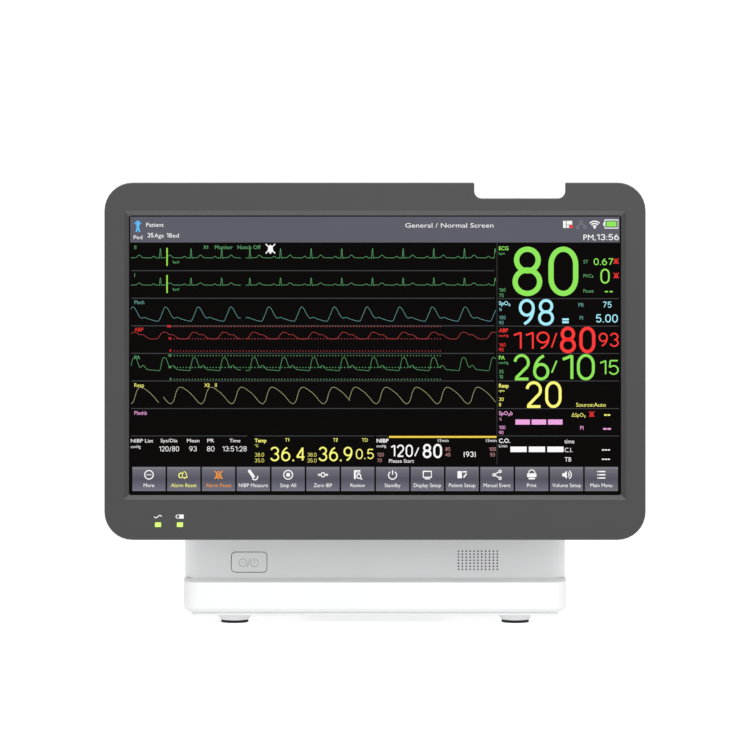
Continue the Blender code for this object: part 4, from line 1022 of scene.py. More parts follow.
def figure_strokes(sign, w, h):
    """Centre lines of one figure in a box w wide and h high, each with whether it closes on itself."""
    half = w / 2
    hooked = oval(half, 0.31 * h, half, 0.31 * h, 0, 342, 22)
    tail = oval(0.92 * w, 0.31 * h, 0.92 * w, 0.69 * h, 180, 104, 10)
    cap = 0.62 * w
    strokes = {
        "0": [(oval(half, h - cap, half, cap, 0, 180) + oval(half, cap, half, cap, 180, 360), True)],
        "1": [([(w, 0), (w, h)], False), ([(w, 0.985 * h), (0.08 * w, 0.83 * h)], False)],
        "2": [
            (oval(half, h - 0.54 * w, half, 0.54 * w, 172, -32), False),
            ([(half + half * 0.85, h - 0.83 * w), (0.09 * w, 0.05 * h)], False),
            ([(0, 0), (w, 0)], False),
        ],
        "3": [
            (oval(half * 0.97, 0.75 * h, 0.46 * w, 0.25 * h, 165, -90), False),
            (oval(half * 0.97, 0.26 * h, half, 0.26 * h, 90, -165), False),
        ],
        "4": [
            ([(0.76 * w, 0), (0.76 * w, h)], False),
            ([(0.76 * w, 0.98 * h), (0, 0.27 * h)], False),
            ([(0, 0.26 * h), (w, 0.26 * h)], False),
        ],
        "5": [
            ([(0.1 * w, h), (0.95 * w, h)], False),
            ([(0.12 * w, h), (0.03 * w, 0.5 * h)], False),
            (oval(half * 0.98, 0.31 * h, half, 0.31 * h, 142, -155), False),
        ],
        "6": [(hooked, True), (tail, False)],
        "7": [([(0, h), (w, h)], False), ([(w, h), (0.32 * w, 0)], False)],
        "8": [
            (oval(half, 0.755 * h, 0.44 * w, 0.245 * h, 0, 342, 22), True),
            (oval(half, 0.265 * h, half, 0.265 * h, 0, 342, 22), True),
        ],
        "9": [([(w - a, h - b) for a, b in hooked], True), ([(w - a, h - b) for a, b in tail], False)],
        ".": [([(w / 2, -0.06 * h), (w / 2, 0.07 * h)], False)],
        ":": [([(w / 2, y * h - 0.065 * h), (w / 2, y * h + 0.065 * h)], False) for y in (0.05, 0.6)],
        "/": [([(0, -0.12 * h), (w, h)], False)],
        "(": [(oval(w * 1.6, 0.45 * h, w * 1.6, 0.68 * h, 125, 235, 8), False)],
        ")": [(oval(-w * 0.6, 0.45 * h, w * 1.6, 0.68 * h, 55, -55, 8), False)],
    }
    return strokes[sign]


def smooth_through(knots, phase):
    """A repeating curve through knots, each a phase and a height, that turns only where they do."""
    phase %= 1.0
    before = (knots[-1][0] - 1.0, knots[-1][1])
    after = [(knots[i][0] + 1.0, knots[i][1]) for i in (0, 1)]
    knots = [before, *knots, *after]
    rises = [(b[1] - a[1]) / (b[0] - a[0]) for a, b in zip(knots, knots[1:])]
    for i in range(1, len(knots) - 1):
        (start, low), (end, high) = knots[i], knots[i + 1]
        if start <= phase <= end:
            leave, arrive = (
                0.0 if p * q <= 0 else 2 * p * q / (p + q) for p, q in (rises[i - 1 : i + 1], rises[i : i + 2])
            )
            share, span = (phase - start) / (end - start), end - start
            soft = (3 - 2 * share) * share * share
            bend = leave * share * (1 - share) ** 2 - arrive * share * share * (1 - share)
            return low + (high - low) * soft + bend * span
    return knots[-1][1]


# One beat of each trace: phase and height, each from 0 to 1.
HEART = [
    (0.0, 1.0), (0.035, -0.06), (0.07, 0.02), (0.2, 0.03), (0.31, 0.30), (0.42, 0.03),
    (0.70, 0.0), (0.79, 0.17), (0.86, 0.0), (0.94, 0.0), (0.965, -0.05),
]
PULSE = [
    (0.0, 1.0), (0.05, 0.94), (0.22, 0.30), (0.28, 0.21), (0.35, 0.27), (0.5, 0.15), (0.78, 0.0), (0.9, 0.52),
]
ARTERY = [(0.0, 1.0), (0.12, 0.92), (0.22, 0.62), (0.30, 0.66), (0.48, 0.18), (0.60, 0.0), (0.78, 0.02)]
LUNG_ARTERY = [
    (0.0, 1.0), (0.06, 0.92), (0.13, 0.5), (0.19, 0.24), (0.29, 0.40), (0.44, 0.08),
    (0.66, 0.04), (0.84, 0.0), (0.95, 0.9),
]
BREATH = [
    (0.0, 1.0), (0.26, 0.74), (0.44, 0.42), (0.60, 0.08), (0.68, 0.0), (0.77, 0.14), (0.87, 0.72), (0.94, 0.95),
]


def trace(ink, beat, foot, height, pitch, first, spans, width=0.31, step=0.45):
    """A running trace: one beat repeated over each span, each with its own first peak."""
    for (left, right), peak in zip(spans, first):
        count = max(2, int((right - left) / step))
        places = [left + (right - left) * i / count for i in range(count + 1)]
        ink.line([(x, foot - height * smooth_through(beat, (x - peak) / pitch)) for x in places], width)


BELL = [(-0.38, 0.32), (-0.25, 0.14), (-0.21, -0.20), (0.0, -0.40), (0.21, -0.20), (0.25, 0.14), (0.38, 0.32)]


def crossed_bell(ink, x, y, size, bars=True, solid=False):
    """A bell, crossed out."""
    outline = [(x + a * size, y + b * size) for a, b in BELL]
    if solid:
        ink.plate(outline)
    else:
        ink.line(outline, 0.10 * size, closed=True)
    ink.dot(x, y + 0.40 * size, 0.1 * size, 8)
    if bars:
        for side in (-1, 1):
            reach = 0.46 * size
            ink.bar(x - side * reach, y - reach, x + side * reach, y + reach, 0.11 * size)


def draw_title_bar(white, green, bar, blue, dim, red):
    """The bar across the picture's top: patient, title, states and time."""
    bar.box(0.1, -1.6, PICTURE_W - 0.1, BAR_H)
    blue.dot(6.5, 3.0, 1.35, 12)
    blue.bar(6.5, 3.8, 6.5, 8.0, 2.2)
    blue.bar(6.3, 7.2, 5.0, 11.2, 1.3)
    blue.bar(6.7, 7.2, 8.0, 11.2, 1.3)
    blue.bar(5.8, 5.2, 3.8, 3.4, 1.0)
    blue.bar(7.2, 5.2, 9.2, 3.4, 1.0)
    white.write("Ped", 3.0, 17.2, 3.3, right=10.2)
    white.write("Patient", 13.5, 6.9, 3.6, right=28.0)
    white.figures("35", 14.5, 15.9, 3.9, stroke=0.15)
    white.write("Age", 20.3, 15.9, 3.7, right=28.2)
    white.figures("1", 30.4, 15.9, 3.9, stroke=0.15)
    white.write("Bed", 32.8, 15.9, 3.7, right=40.8)
    white.write("General / Normal Screen", 230.2, 7.5, 3.9, right=304.0)
    white.box(362.3, 1.9, 364.6, 7.9)
    white.box(365.2, 1.9, 369.9, 5.0)
    white.box(365.2, 5.4, 367.2, 7.9)
    red.dot(369.0, 6.6, 1.5, 12)
    for x, y in ((377.4, 2.9), (374.3, 7.2), (380.5, 7.2)):
        dim.arc(x, y, 1.15, 0.5, steps=12)
    dim.bar(377.4, 4.2, 377.4, 5.2, 0.4)
    dim.bar(374.3, 5.2, 380.5, 5.2, 0.4)
    for radius in (2.0, 3.9, 5.8):
        white.arc(388.7, 8.0, radius, 1.0, 225, 315, 10)
    white.dot(388.7, 7.6, 0.9, 10)
    white.line([(397.3, 1.1), (408.3, 1.1), (408.3, 8.0), (397.3, 8.0), (397.3, 1.1)], 0.9)
    white.box(395.9, 3.3, 396.9, 5.9)
    green.box(398.6, 2.4, 406.9, 6.7)
    white.write("PM,", 379.3, 18.1, 5.0, right=389.6)
    white.figures("13:56", 389.9, 18.1, 5.1, right=409.1, stroke=0.14)


def draw_lines(lines):
    """Thin dividing lines of the picture."""
    for down in ROW_LINES[:-1]:
        lines.box(1.0, down - 0.35, WAVES_W - 2.0, down + 0.35)
    for down in [67.0, 90.0, 112.9, 135.9, 159.0, 181.9]:
        lines.box(WAVES_W + 1.0, down - 0.3, PICTURE_W - 0.6, down + 0.3)
    lines.box(0.5, 181.6, 98.0, 182.2)
    lines.box(104.0, 181.6, 204.4, 182.2)
    lines.box(206.0, 181.6, 215.0, 182.2)
    lines.box(WAVES_W, BAR_H, WAVES_W + 0.4, KEYS_TOP - 2.0)


def draw_heart(white, green, trace_ink, bright):
    """The two heart traces and the heart rate."""
    spans = [(0.8, GAP_LEFT), (GAP_RIGHT, WAVES_W - 1.0)]
    for foot, height, down, lead in ((32.9, 8.0, 25.5, "II"), (55.7, 6.2, 48.9, "I")):
        trace(trace_ink, HEART, foot, height, 25.65, (25.3, 100.2), spans, 0.34, 0.16)
        trace_ink.write(lead, 3.6, down, 3.3)
        bright.box(30.3, foot - 8.4, 31.5, foot + 6.6)
        trace_ink.figures("1", 35.4, foot + 4.8, 2.5, stroke=0.18)
        trace_ink.write("mV", 37.0, foot + 4.8, 2.5)
    trace_ink.write("X", 61.2, 25.5, 3.3)
    trace_ink.figures("1", 64.0, 25.5, 2.9, stroke=0.17)
    trace_ink.write("Monitor", 70.9, 25.5, 3.3, right=85.8)
    trace_ink.write("Notch Off", 89.9, 25.5, 3.3, right=109.2)
    crossed_bell(white, 117.4, 25.2, 8.6, solid=True)
    green.write("ECG", 308.6, 26.4, 3.3, weight=0.02)
    trace_ink.write("bpm", 308.6, 30.2, 2.3)
    trace_ink.figures("160", 308.6, 61.2, 3.0, stroke=0.125)
    trace_ink.figures("75", 308.6, 65.7, 3.0, stroke=0.125)
    green.figures("80", 319.9, 64.9, 41.5, right=375.0, stroke=0.106)
    trace_ink.write("ST", 379.3, 37.5, 3.0)
    green.figures("0.67", 387.9, 39.0, 5.8, right=404.2, stroke=0.14)
    trace_ink.write("PVCs", 379.3, 49.4, 3.0)
    green.figures("0", 393.5, 54.5, 12.6, right=401.3)
    trace_ink.write("Pause", 379.3, 61.9, 3.0)
    for left in (397.2, 401.2):
        green.box(left, 60.6, left + 2.6, 61.7)


def draw_oxygen(cyan, teal):
    """Pulse trace and oxygen saturation."""
    spans = [(0.8, GAP_LEFT), (GAP_RIGHT, WAVES_W - 1.0)]
    trace(teal, PULSE, 85.9, 12.0, 27.35, (29.4, 115.9), spans, 0.34)
    teal.write("Pleth", 3.6, 71.6, 3.3)
    cyan.write("SpO₂", 308.6, 72.4, 3.4, weight=0.015)
    cyan.write("%", 308.9, 77.2, 2.4)
    teal.figures("100", 308.6, 84.3, 3.0, stroke=0.125)
    teal.figures("90", 308.6, 88.6, 3.0, stroke=0.125)
    cyan.figures("98", 325.2, 89.6, 22.3, right=354.7)
    cyan.box(361.6, 85.9, 367.0, 87.6)
    cyan.box(361.6, 83.5, 367.0, 85.2)
    teal.write("PR", 375.1, 73.9, 3.4)
    cyan.figures("75", 395.4, 74.6, 5.1, right=402.9, stroke=0.13)
    teal.write("PI", 376.2, 84.7, 3.4)
    cyan.figures("5.00", 389.7, 87.0, 6.9, right=408.1, stroke=0.13)


def dotted(material, downs, name):
    """Dotted scale lines of a pressure trace."""
    first, last, pitch = 37.0, 259.5, 2.5
    unit = Ink("dot")
    unit.box(-0.36, -0.36, 0.36, 0.36)
    mesh = bpy.data.meshes.new("dot")
    unit.work.to_mesh(mesh)
    unit.work.free()
    count = int((last - first) / pitch) + 1
    made = in_rows(
        mesh,
        material,
        count,
        len(downs),
        (first * MM, 0, -downs[0] * MM),
        (pitch * MM, 0, 0),
        (0, 0, -(downs[1] - downs[0]) * MM),
    )
    show(name, made, "host")


def draw_pressures(red, green, trace_ink, trace_red):
    """Arterial and lung pressure."""
    spans = [(0.8, GAP_LEFT), (GAP_RIGHT, WAVES_W - 1.0)]
    trace(trace_red, ARTERY, 100.8, 5.7, 25.05, (27.7, 102.9), spans)
    trace(trace_ink, LUNG_ARTERY, 127.3, 11.2, 25.05, (28.6, 103.6), spans)
    red.write("ABP", 3.6, 94.4, 3.3)
    trace_ink.write("PA", 3.6, 117.7, 3.3)
    for ink, downs, marks in (
        (red, (91.2, 101.4, 111.4), ("150", "75", "0")),
        (trace_ink, (115.6, 125.4, 135.3), ("30", "15", "0")),
    ):
        for down, mark in zip(downs, marks):
            ink.figures(mark, 34.6 - 1.35 * len(mark), down, 2.0, stroke=0.18)
    red.write("ABP", 308.6, 95.1, 3.3, weight=0.02)
    red.write("mmHg", 308.6, 99.0, 2.3)
    red.figures("160", 308.6, 107.1, 3.0, stroke=0.125)
    red.figures("90", 308.6, 111.2, 3.0, stroke=0.125)
    red.figures("119", 319.8, 109.7, 15.2, right=351.0, stroke=0.10)
    red.bar(352.6, 108.0, 356.9, 95.7, 1.2)
    red.figures("80", 359.6, 112.7, 22.3, right=389.3, stroke=0.125)
    red.figures("93", 392.0, 107.4, 11.9, right=409.0, stroke=0.108)
    green.write("PA", 308.6, 117.9, 3.3, weight=0.02)
    trace_ink.write("mmHg", 308.6, 121.7, 2.3)
    trace_ink.figures("35", 308.6, 129.6, 3.0, stroke=0.125)
    trace_ink.figures("10", 308.6, 133.9, 3.0, stroke=0.125)
    green.figures("26", 320.8, 135.4, 22.1, right=350.8)
    green.bar(352.8, 128.9, 356.9, 119.0, 1.3)
    green.figures("10", 360.2, 135.4, 22.1, right=388.8)
    green.figures("15", 392.3, 130.8, 12.5, right=409.0, stroke=0.10)


def draw_breath(yellow, trace_ink):
    """Breathing trace, its rate and the temperatures."""
    spans = [(0.8, 24.0), (27.8, 183.8), (183.4, WAVES_W - 1.0)]
    trace(trace_ink, BREATH, 155.0, 13.9, 25.6, (8.6, 42.0, 188.5), spans)
    yellow.write("Resp", 3.6, 140.9, 3.3)
    yellow.write("X", 62.0, 140.9, 3.3)
    yellow.figures("2", 64.8, 140.9, 2.9, stroke=0.17)
    yellow.write("II", 71.0, 140.9, 3.3)
    yellow.write("Resp", 308.6, 141.4, 3.3, weight=0.02)
    yellow.write("rpm", 308.6, 145.0, 2.3)
    yellow.figures("30", 308.6, 152.7, 3.0, stroke=0.125)
    yellow.figures("8", 308.6, 157.2, 3.0, stroke=0.125)
    yellow.figures("20", 330.9, 158.5, 22.4, right=361.0)
    yellow.write("Source:Auto", 373.3, 157.4, 3.4, right=398.1)
    yellow.write("Temp", 104.3, 187.2, 3.2, weight=0.02)
    yellow.write("°C", 104.3, 191.2, 2.3)
    for left, head, mark in ((104.3, 129.6, "1"), (148.3, 169.8, "2")):
        yellow.write("T", head, 186.7, 3.0)
        yellow.figures(mark, head + 2.2, 186.7, 3.0, stroke=0.17)
        yellow.figures("38.0", left, 199.2, 3.2, right=left + 7.7, stroke=0.09)
        yellow.figures("35.0", left, 204.0, 3.2, right=left + 7.7, stroke=0.09)
    yellow.write("TD", 193.9, 186.7, 3.0)
    yellow.figures("36.4", 117.2, 203.1, 12.2, right=146.5, stroke=0.11)
    yellow.figures("36.9", 157.6, 203.1, 12.2, right=186.0, stroke=0.11)
    yellow.figures("0.5", 188.9, 201.3, 8.6, right=204.0, stroke=0.11)


def draw_second_oxygen(pink, yellow, red):
    """The second oxygen channel, which has no finger on it."""
    pink.write("Plethb", 3.6, 164.2, 3.3)
    pink.write("SpO₂b", 308.6, 164.4, 3.3, weight=0.015)
    pink.write("%", 308.9, 169.0, 2.4)
    pink.figures("100", 308.6, 176.2, 2.9, stroke=0.125)
    pink.figures("90", 308.6, 180.5, 2.9, stroke=0.125)
    for left in (322.4, 336.0, 349.7):
        pink.box(left, 168.1, left + 12.1, 172.4)
    yellow.write("ΔSpO₂", 369.4, 165.8, 3.2)
    for left in (396.7, 399.5):
        yellow.box(left, 163.7, left + 2.2, 165.0)
    pink.write("PI", 376.6, 176.7, 3.4)
    for left in (395.8, 399.4):
        pink.box(left, 175.3, left + 2.9, 176.7)
    for x, y in ((406.7, 35.6), (406.7, 47.6), (386.2, 163.6)):
        crossed_bell(red, x, y, 4.9)


def draw_cuff(white, blush, amber):
    """Cuff pressure: its list and the last reading."""
    white.write("NIBP List", 0.6, 187.4, 3.2, right=19.3)
    white.write("mmHg", 0.6, 192.0, 2.4)
    heads = (("Sys/Dia", 25.5, 39.6), ("Mean", 47.6, 57.9), ("PR", 64.6, 70.3), ("Time", 83.1, 92.2))
    for words, left, right in heads:
        white.write(words, left, 187.2, 3.1, right=right)
    entries = (("120/80", 23.9, 40.9), ("93", 49.4, 55.8), ("80", 64.3, 70.6), ("13:51:28", 76.9, 97.6))
    for words, left, right in entries:
        white.figures(words, left, 194.8, 4.3, right=right, stroke=0.105)
    amber.box(216.6, 181.9, 306.5, 183.5)
    white.write("NIBP", 206.3, 187.4, 3.3, right=216.3, weight=0.02)
    white.write("mmHg", 206.3, 191.4, 2.3)
    white.write("15min", 257.5, 186.9, 2.6, right=266.4)
    white.write("15min", 297.8, 186.9, 2.6, right=306.5)
    white.figures("120", 217.6, 199.5, 10.4, right=236.6, stroke=0.12)
    white.bar(238.2, 198.8, 241.5, 191.6, 1.0)
    white.figures("80", 244.8, 200.5, 12.0, right=261.0, stroke=0.14)
    white.figures("(93)", 279.1, 199.5, 4.6, right=289.2, stroke=0.14)
    white.write("Please Start", 216.6, 204.3, 3.2, right=237.5)
    for words, left, baseline in (
        ("120", 206.5, 199.1), ("70", 206.5, 203.9), ("85", 263.9, 194.5),
        ("40", 263.9, 199.1), ("100", 300.3, 194.5), ("50", 301.2, 199.1),
    ):
        blush.figures(words, left, baseline, 3.1, stroke=0.11)


def draw_output(white):
    """Heart output, which isn't being measured."""
    white.write("C.O.", 308.6, 187.6, 3.7, weight=0.02)
    white.write("L/min", 308.6, 191.4, 2.5)
    for left in (318.2, 333.6, 349.1):
        white.box(left, 190.8, left + 13.6, 195.4)
    white.write("time", 363.4, 188.1, 3.6)
    white.write("C.I.", 363.6, 195.4, 3.8)
    white.write("TB", 363.6, 203.3, 3.8)
    for down in (193.6, 201.4):
        for left in (394.8, 397.2, 399.6):
            white.box(left, down - 0.5, left + 1.9, down + 0.5)


KEY_NAMES = (
    "More", "Alarm Reset", "Alarm Pause", "NIBP Measure", "Stop All", "Zero IBP", "Review",
    "Standby", "Display Setup", "Patient Setup", "Manual Event", "Print", "Volume Setup", "Main Menu",
)


def draw_key_icons(white, yellow, orange):
    """The small pictures on the screen's keys."""
    middle = [KEY_FIRST + KEY_WIDTH / 2 + KEY_PITCH * i for i in range(len(KEY_NAMES))]
    down = 214.4
    white.arc(middle[0], down, 3.6, 0.9)
    for step in (-1.5, 0.0, 1.5):
        white.dot(middle[0] + step, down, 0.55, 8)
    crossed_bell(yellow, middle[1] + 0.6, down, 7.0, bars=False)
    yellow.arc(middle[1] - 2.2, down + 0.6, 2.0, 0.9, 90, 300, 10)
    crossed_bell(orange, middle[2], down, 7.4)
    white.arc(middle[3] + 1.2, down + 1.8, 2.4, 1.0, -20, 150, 12)
    white.bar(middle[3] - 3.4, down - 3.4, middle[3] + 0.6, down + 2.4, 2.4)
    white.dot(middle[3] - 3.2, down - 3.0, 1.4, 10)
    white.arc(middle[4], down, 3.7, 0.9)
    white.box(middle[4] - 1.5, down - 1.5, middle[4] + 1.5, down + 1.5)
    white.arc(middle[5], down, 1.7, 0.9, steps=14)
    for side in (-1, 1):
        white.bar(middle[5] + side * 4.4, down, middle[5] + side * 2.2, down, 0.8)
        white.plate(
            [
                (middle[5] + side * 2.1, down),
                (middle[5] + side * 3.6, down - side * 1.3),
                (middle[5] + side * 3.6, down + side * 1.3),
            ]
        )
    white.box(middle[6] - 3.2, down - 3.9, middle[6] + 2.2, down - 2.6)
    white.box(middle[6] - 3.2, down - 2.6, middle[6] - 1.6, down + 3.6)
    white.box(middle[6] - 1.0, down - 1.9, middle[6] + 2.2, down - 1.1)
    white.arc(middle[6] + 0.9, down + 1.3, 1.7, 0.9, steps=14)
    white.bar(middle[6] + 2.1, down + 2.5, middle[6] + 3.6, down + 4.0, 1.0)
    white.arc(middle[7], down + 0.3, 3.4, 0.9, -55, 235, 20)
    white.bar(middle[7], down - 3.9, middle[7], down - 0.2, 0.9)
    rim = ((-3.4, -2.9), (3.4, -2.9), (3.4, 2.1), (-3.4, 2.1), (-3.4, -2.9))
    white.line([(middle[8] + x, down + y) for x, y in rim], 1.1)
    white.box(middle[8] - 2.2, down + 2.9, middle[8] + 2.2, down + 3.8)
    white.box(middle[9] - 3.9, down - 3.1, middle[9] - 0.2, down + 2.9)
    white.box(middle[9] + 0.4, down - 3.1, middle[9] + 3.9, down - 1.9)
    white.bar(middle[9] + 1.2, down + 2.4, middle[9] + 3.6, down - 1.0, 1.2)
    for x, y in ((-2.4, 0.0), (2.6, -2.9), (2.6, 2.9)):
        white.arc(middle[10] + x, down + y, 1.0, 0.9, steps=12)
    white.bar(middle[10] - 1.4, down - 0.6, middle[10] + 1.6, down - 2.4, 0.8)
    white.bar(middle[10] - 1.4, down + 0.6, middle[10] + 1.6, down + 2.4, 0.8)
    white.arc(middle[11], down - 1.4, 2.7, 0.8, 180, 360, 12)
    white.box(middle[11] - 3.9, down - 1.2, middle[11] + 3.9, down + 1.9)
    white.box(middle[11] - 2.7, down + 2.4, middle[11] + 2.7, down + 3.8)
    white.plate(
        [
            (middle[12] - 3.6, down - 1.3),
            (middle[12] - 2.0, down - 1.3),
            (middle[12] + 0.2, down - 3.4),
            (middle[12] + 0.2, down + 3.4),
            (middle[12] - 2.0, down + 1.3),
            (middle[12] - 3.6, down + 1.3),
        ]
    )
    white.arc(middle[12] + 0.2, down, 2.0, 0.8, -60, 60, 8)
    white.arc(middle[12] + 0.2, down, 3.8, 0.8, -60, 60, 10)
    for step in (-2.7, 0.0, 2.7):
        white.box(middle[13] - 2.0, down + step - 0.55, middle[13] + 3.4, down + step + 0.55)
        white.box(middle[13] - 3.4, down + step - 0.55, middle[13] - 2.5, down + step + 0.55)
    for index, name in enumerate(KEY_NAMES):
        ink = {1: yellow, 2: orange}.get(index, white)
        ink.write(name, middle[index], 224.7, 3.25, align="CENTER")


# Shades of a key from its foot to its head, each a place and a colour.
KEY_SHADES = [
    (0.0, (112, 111, 120)), (0.04, (118, 117, 128)), (0.07, (107, 106, 119)), (0.42, (85, 84, 97)),
    (0.50, (81, 80, 93)), (0.90, (107, 106, 115)), (0.95, (126, 125, 134)), (1.0, (112, 111, 120)),
]


def screen_keys():
    """The row of keys at the picture's foot."""
    foot = SCREEN_TOP - KEYS_FOOT * MM
    head = SCREEN_TOP - KEYS_TOP * MM
    stops = [(place, srgb(*shade)) for place, shade in KEY_SHADES]
    unit = Ink("key", TILE_LIFT, 0.04 * MM)
    unit.box(0, 0, KEY_WIDTH, KEYS_FOOT - KEYS_TOP)
    mesh = bpy.data.meshes.new("key")
    unit.work.to_mesh(mesh)
    unit.work.free()
    made = in_rows(
        mesh,
        glow("screen_key", srgb(100, 100, 110), (foot, head, stops)),
        len(KEY_NAMES),
        1,
        (KEY_FIRST * MM, 0, -KEYS_TOP * MM),
        (KEY_PITCH * MM, 0, 0),
    )
    show("screen_keys", made, "host")


def running_picture():
    """All that shows on the screen, one piece for each colour."""
    look = bpy.context.scene.screen_look
    ink = {
        name: Ink("picture_" + name)
        for name in (
            "white", "green", "trace_green", "bright_green", "cyan", "teal", "red",
            "trace_red", "yellow", "trace_yellow", "pink", "orange", "amber", "blush", "blue", "dim",
        )
    }
    ink["bar"] = Ink("picture_bar", TILE_LIFT)
    ink["lines"] = Ink("picture_lines", TILE_LIFT)
    draw_title_bar(ink["white"], ink["green"], ink["bar"], ink["blue"], ink["dim"], ink["red"])
    draw_lines(ink["lines"])
    draw_heart(ink["white"], ink["green"], ink["trace_green"], ink["bright_green"])
    draw_oxygen(ink["cyan"], ink["teal"])
    draw_pressures(ink["red"], ink["green"], ink["trace_green"], ink["trace_red"])
    draw_breath(ink["yellow"], ink["trace_yellow"])
    draw_second_oxygen(ink["pink"], ink["yellow"], ink["red"])
    draw_cuff(ink["white"], ink["blush"], ink["amber"])
    draw_output(ink["white"])
    draw_key_icons(ink["white"], ink["yellow"], ink["orange"])
    shades = {
        "white": look.white,
        "green": look.green,
        "trace_green": look.trace,
        "bright_green": srgb(150, 225, 70),
        "cyan": look.cyan,
        "teal": look.teal,
        "red": look.red,
        "trace_red": srgb(184, 62, 64),
        "yellow": look.yellow,
        "trace_yellow": srgb(182, 182, 132),
        "pink": look.pink,
        "orange": srgb(250, 150, 40),
        "amber": srgb(242, 208, 72),
        "blush": srgb(196, 140, 140),
        "blue": srgb(90, 190, 250),
        "dim": srgb(130, 130, 140),
        "bar": look.bar,
        "lines": srgb(58, 60, 62),
    }
    for name, shapes in ink.items():
        shapes.finish(glow("picture_" + name, shades[name]))
    dotted(bpy.data.materials["picture_trace_red"], (90.4, 100.6, 110.8), "picture_dots_red")
    dotted(bpy.data.materials["picture_trace_green"], (114.7, 124.6, 134.5), "picture_dots_green")
    screen_keys()


# ---------------------------------------------------------------- small pieces


def block(work, low, high):
    """Adds a box between two corners."""
    low, high = Vector(low), Vector(high)
    place = Matrix.Translation((low + high) / 2) @ Matrix.Diagonal((*(high - low), 1.0))
    bmesh.ops.create_cube(work, size=1.0, matrix=place)


def turned(work, at, direction, profile, steps=24):
    """Adds a turned solid: pairs of a distance along its axis and a radius."""
    turn = Vector(direction).to_track_quat("Z", "Y").to_matrix()
    angles = [2 * math.pi * i / steps for i in range(steps)]
    rings = [
        [work.verts.new(Vector(at) + turn @ Vector((r * math.cos(a), r * math.sin(a), d))) for a in angles]
        for d, r in profile
    ]
    for first, second in zip(rings, rings[1:]):
        for i in range(steps):
            j = (i + 1) % steps
            work.faces.new((first[i], first[j], second[j], second[i]))
    work.faces.new(rings[0][::-1])
    work.faces.new(rings[-1])


def solid_mesh(name, work, radius=0.0):
    """The mesh of these shapes, with rounded edges."""
    bmesh.ops.recalc_face_normals(work, faces=work.faces)
    mesh = bpy.data.meshes.new(name)
    work.to_mesh(mesh)
    work.free()
    if radius:
        return round_edges(mesh, radius)
    mesh.shade_smooth()
    mesh.set_sharp_from_angle(angle=math.radians(40))
    return mesh


def cross_screw(radius, height):
    """A screw head with a cross recess, which stands on Z = 0."""
    head = bmesh.new()
    outline = [(0, radius), (0.55 * height, radius), (0.9 * height, 0.86 * radius), (height, 0.7 * radius)]
    turned(head, (0, 0, 0), (0, 0, 1), outline)
    arm, half = 0.5 * radius, 0.13 * radius
    corners = [(half, half), (half, arm), (-half, arm), (-half, half), (-arm, half), (-arm, -half)]
    corners += [(-x, -y) for x, y in corners]
    cutter = bmesh.new()
    foot = [cutter.verts.new((x, y, 0.45 * height)) for x, y in corners]
    top = [cutter.verts.new((x, y, 1.5 * height)) for x, y in corners]
    for i in range(len(corners)):
        j = (i + 1) % len(corners)
        cutter.faces.new((foot[i], foot[j], top[j], top[i]))
    cutter.faces.new(foot[::-1])
    cutter.faces.new(top)
    return cut_by(solid_mesh("head", head), solid_mesh("cross", cutter))


SCREW_R, SCREW_H = 2.5 * MM, 1.2 * MM
WELL_R, WELL_DEPTH = 3.2 * MM, 1.7 * MM
REAR_SCREW_IN = 15.0 * MM  # from the rear shell's edges
COVER_SCREW_IN = 26.0 * MM  # from the display cover's edges


def screwed(node, inset, name):
    """Finishes a node with screws sunk into the corners of its rear face."""
    low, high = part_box(node)
    places = [(x, high.y, z) for x in (low.x + inset, high.x - inset) for z in (low.z + inset, high.z - inset)]
    refined(node, wells=[(at, (0, 1, 0), WELL_R, WELL_DEPTH) for at in places])
    marks = [(Vector(at) - Vector((0, WELL_DEPTH, 0)), (0, 1, 0)) for at in places]
    show(name, on_marks(cross_screw(SCREW_R, SCREW_H), finish("screw_steel"), marks), "host")


# The loudspeaker's grid of holes.
GRILLE_COLUMNS, GRILLE_ROWS = 11, 7
GRILLE_STEP_X, GRILLE_STEP_Z = 3.31 * MM, 2.59 * MM
GRILLE_HOLE_R = 0.78 * MM
SHADE_DISC_DOWN = 0.35 * MM  # from the host's face to the black discs of painted shade in the holes
STRIP_IN = 6 * MM  # from the host's sides to the ends of the joint's strip


def grille_middle():
    """The middle of the loudspeaker's grid of holes on the host's face."""
    low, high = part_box("loudspeaker")
    return Vector(((low.x + high.x) / 2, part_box("host_front_shell")[0].y, (low.z + high.z) / 2))


def grille_box():
    """The part of the host's front in which the holes keep their sharp edges."""
    reach = Vector(
        (GRILLE_COLUMNS / 2 * GRILLE_STEP_X + 0.5 * MM, 10 * MM, GRILLE_ROWS / 2 * GRILLE_STEP_Z + 0.5 * MM)
    )
    return grille_middle() - reach, grille_middle() + reach


def grille_cloth():
    """Black discs in the loudspeaker's holes: painted shade that stands in for the dark deep inside them."""
    disc = bmesh.new()
    turned(disc, (0, 0, 0), (0, -1, 0), [(-0.4 * MM, GRILLE_HOLE_R), (0, GRILLE_HOLE_R)], 12)
    first = grille_middle() - Vector(
        ((GRILLE_COLUMNS - 1) / 2 * GRILLE_STEP_X, -SHADE_DISC_DOWN, (GRILLE_ROWS - 1) / 2 * GRILLE_STEP_Z)
    )
    # Painted shade: near-black discs just inside each hole make the holes read dark.
    rows = in_rows(
        solid_mesh("disc", disc), finish("rubber"), GRILLE_COLUMNS, GRILLE_ROWS, first,
        (GRILLE_STEP_X, 0, 0), (0, 0, GRILLE_STEP_Z),
    )
    show("grille_cloth", rows, "host")


def seam_strip():
    """A light strip in the joint between the host's front and its base."""
    low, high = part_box("host_front_shell")
    work = bmesh.new()
    block(
        work,
        (low.x + STRIP_IN, low.y + 0.15 * MM, TRAY_HIGH.z - 0.3 * MM),
        (high.x - STRIP_IN, low.y + 1.5 * MM, low.z + 0.35 * MM),
    )
    show("base_seam_strip", solid_mesh("strip", work, 0.1 * MM), "host", finish("white_shell"))


# ---------------------------------------------------------------- modules

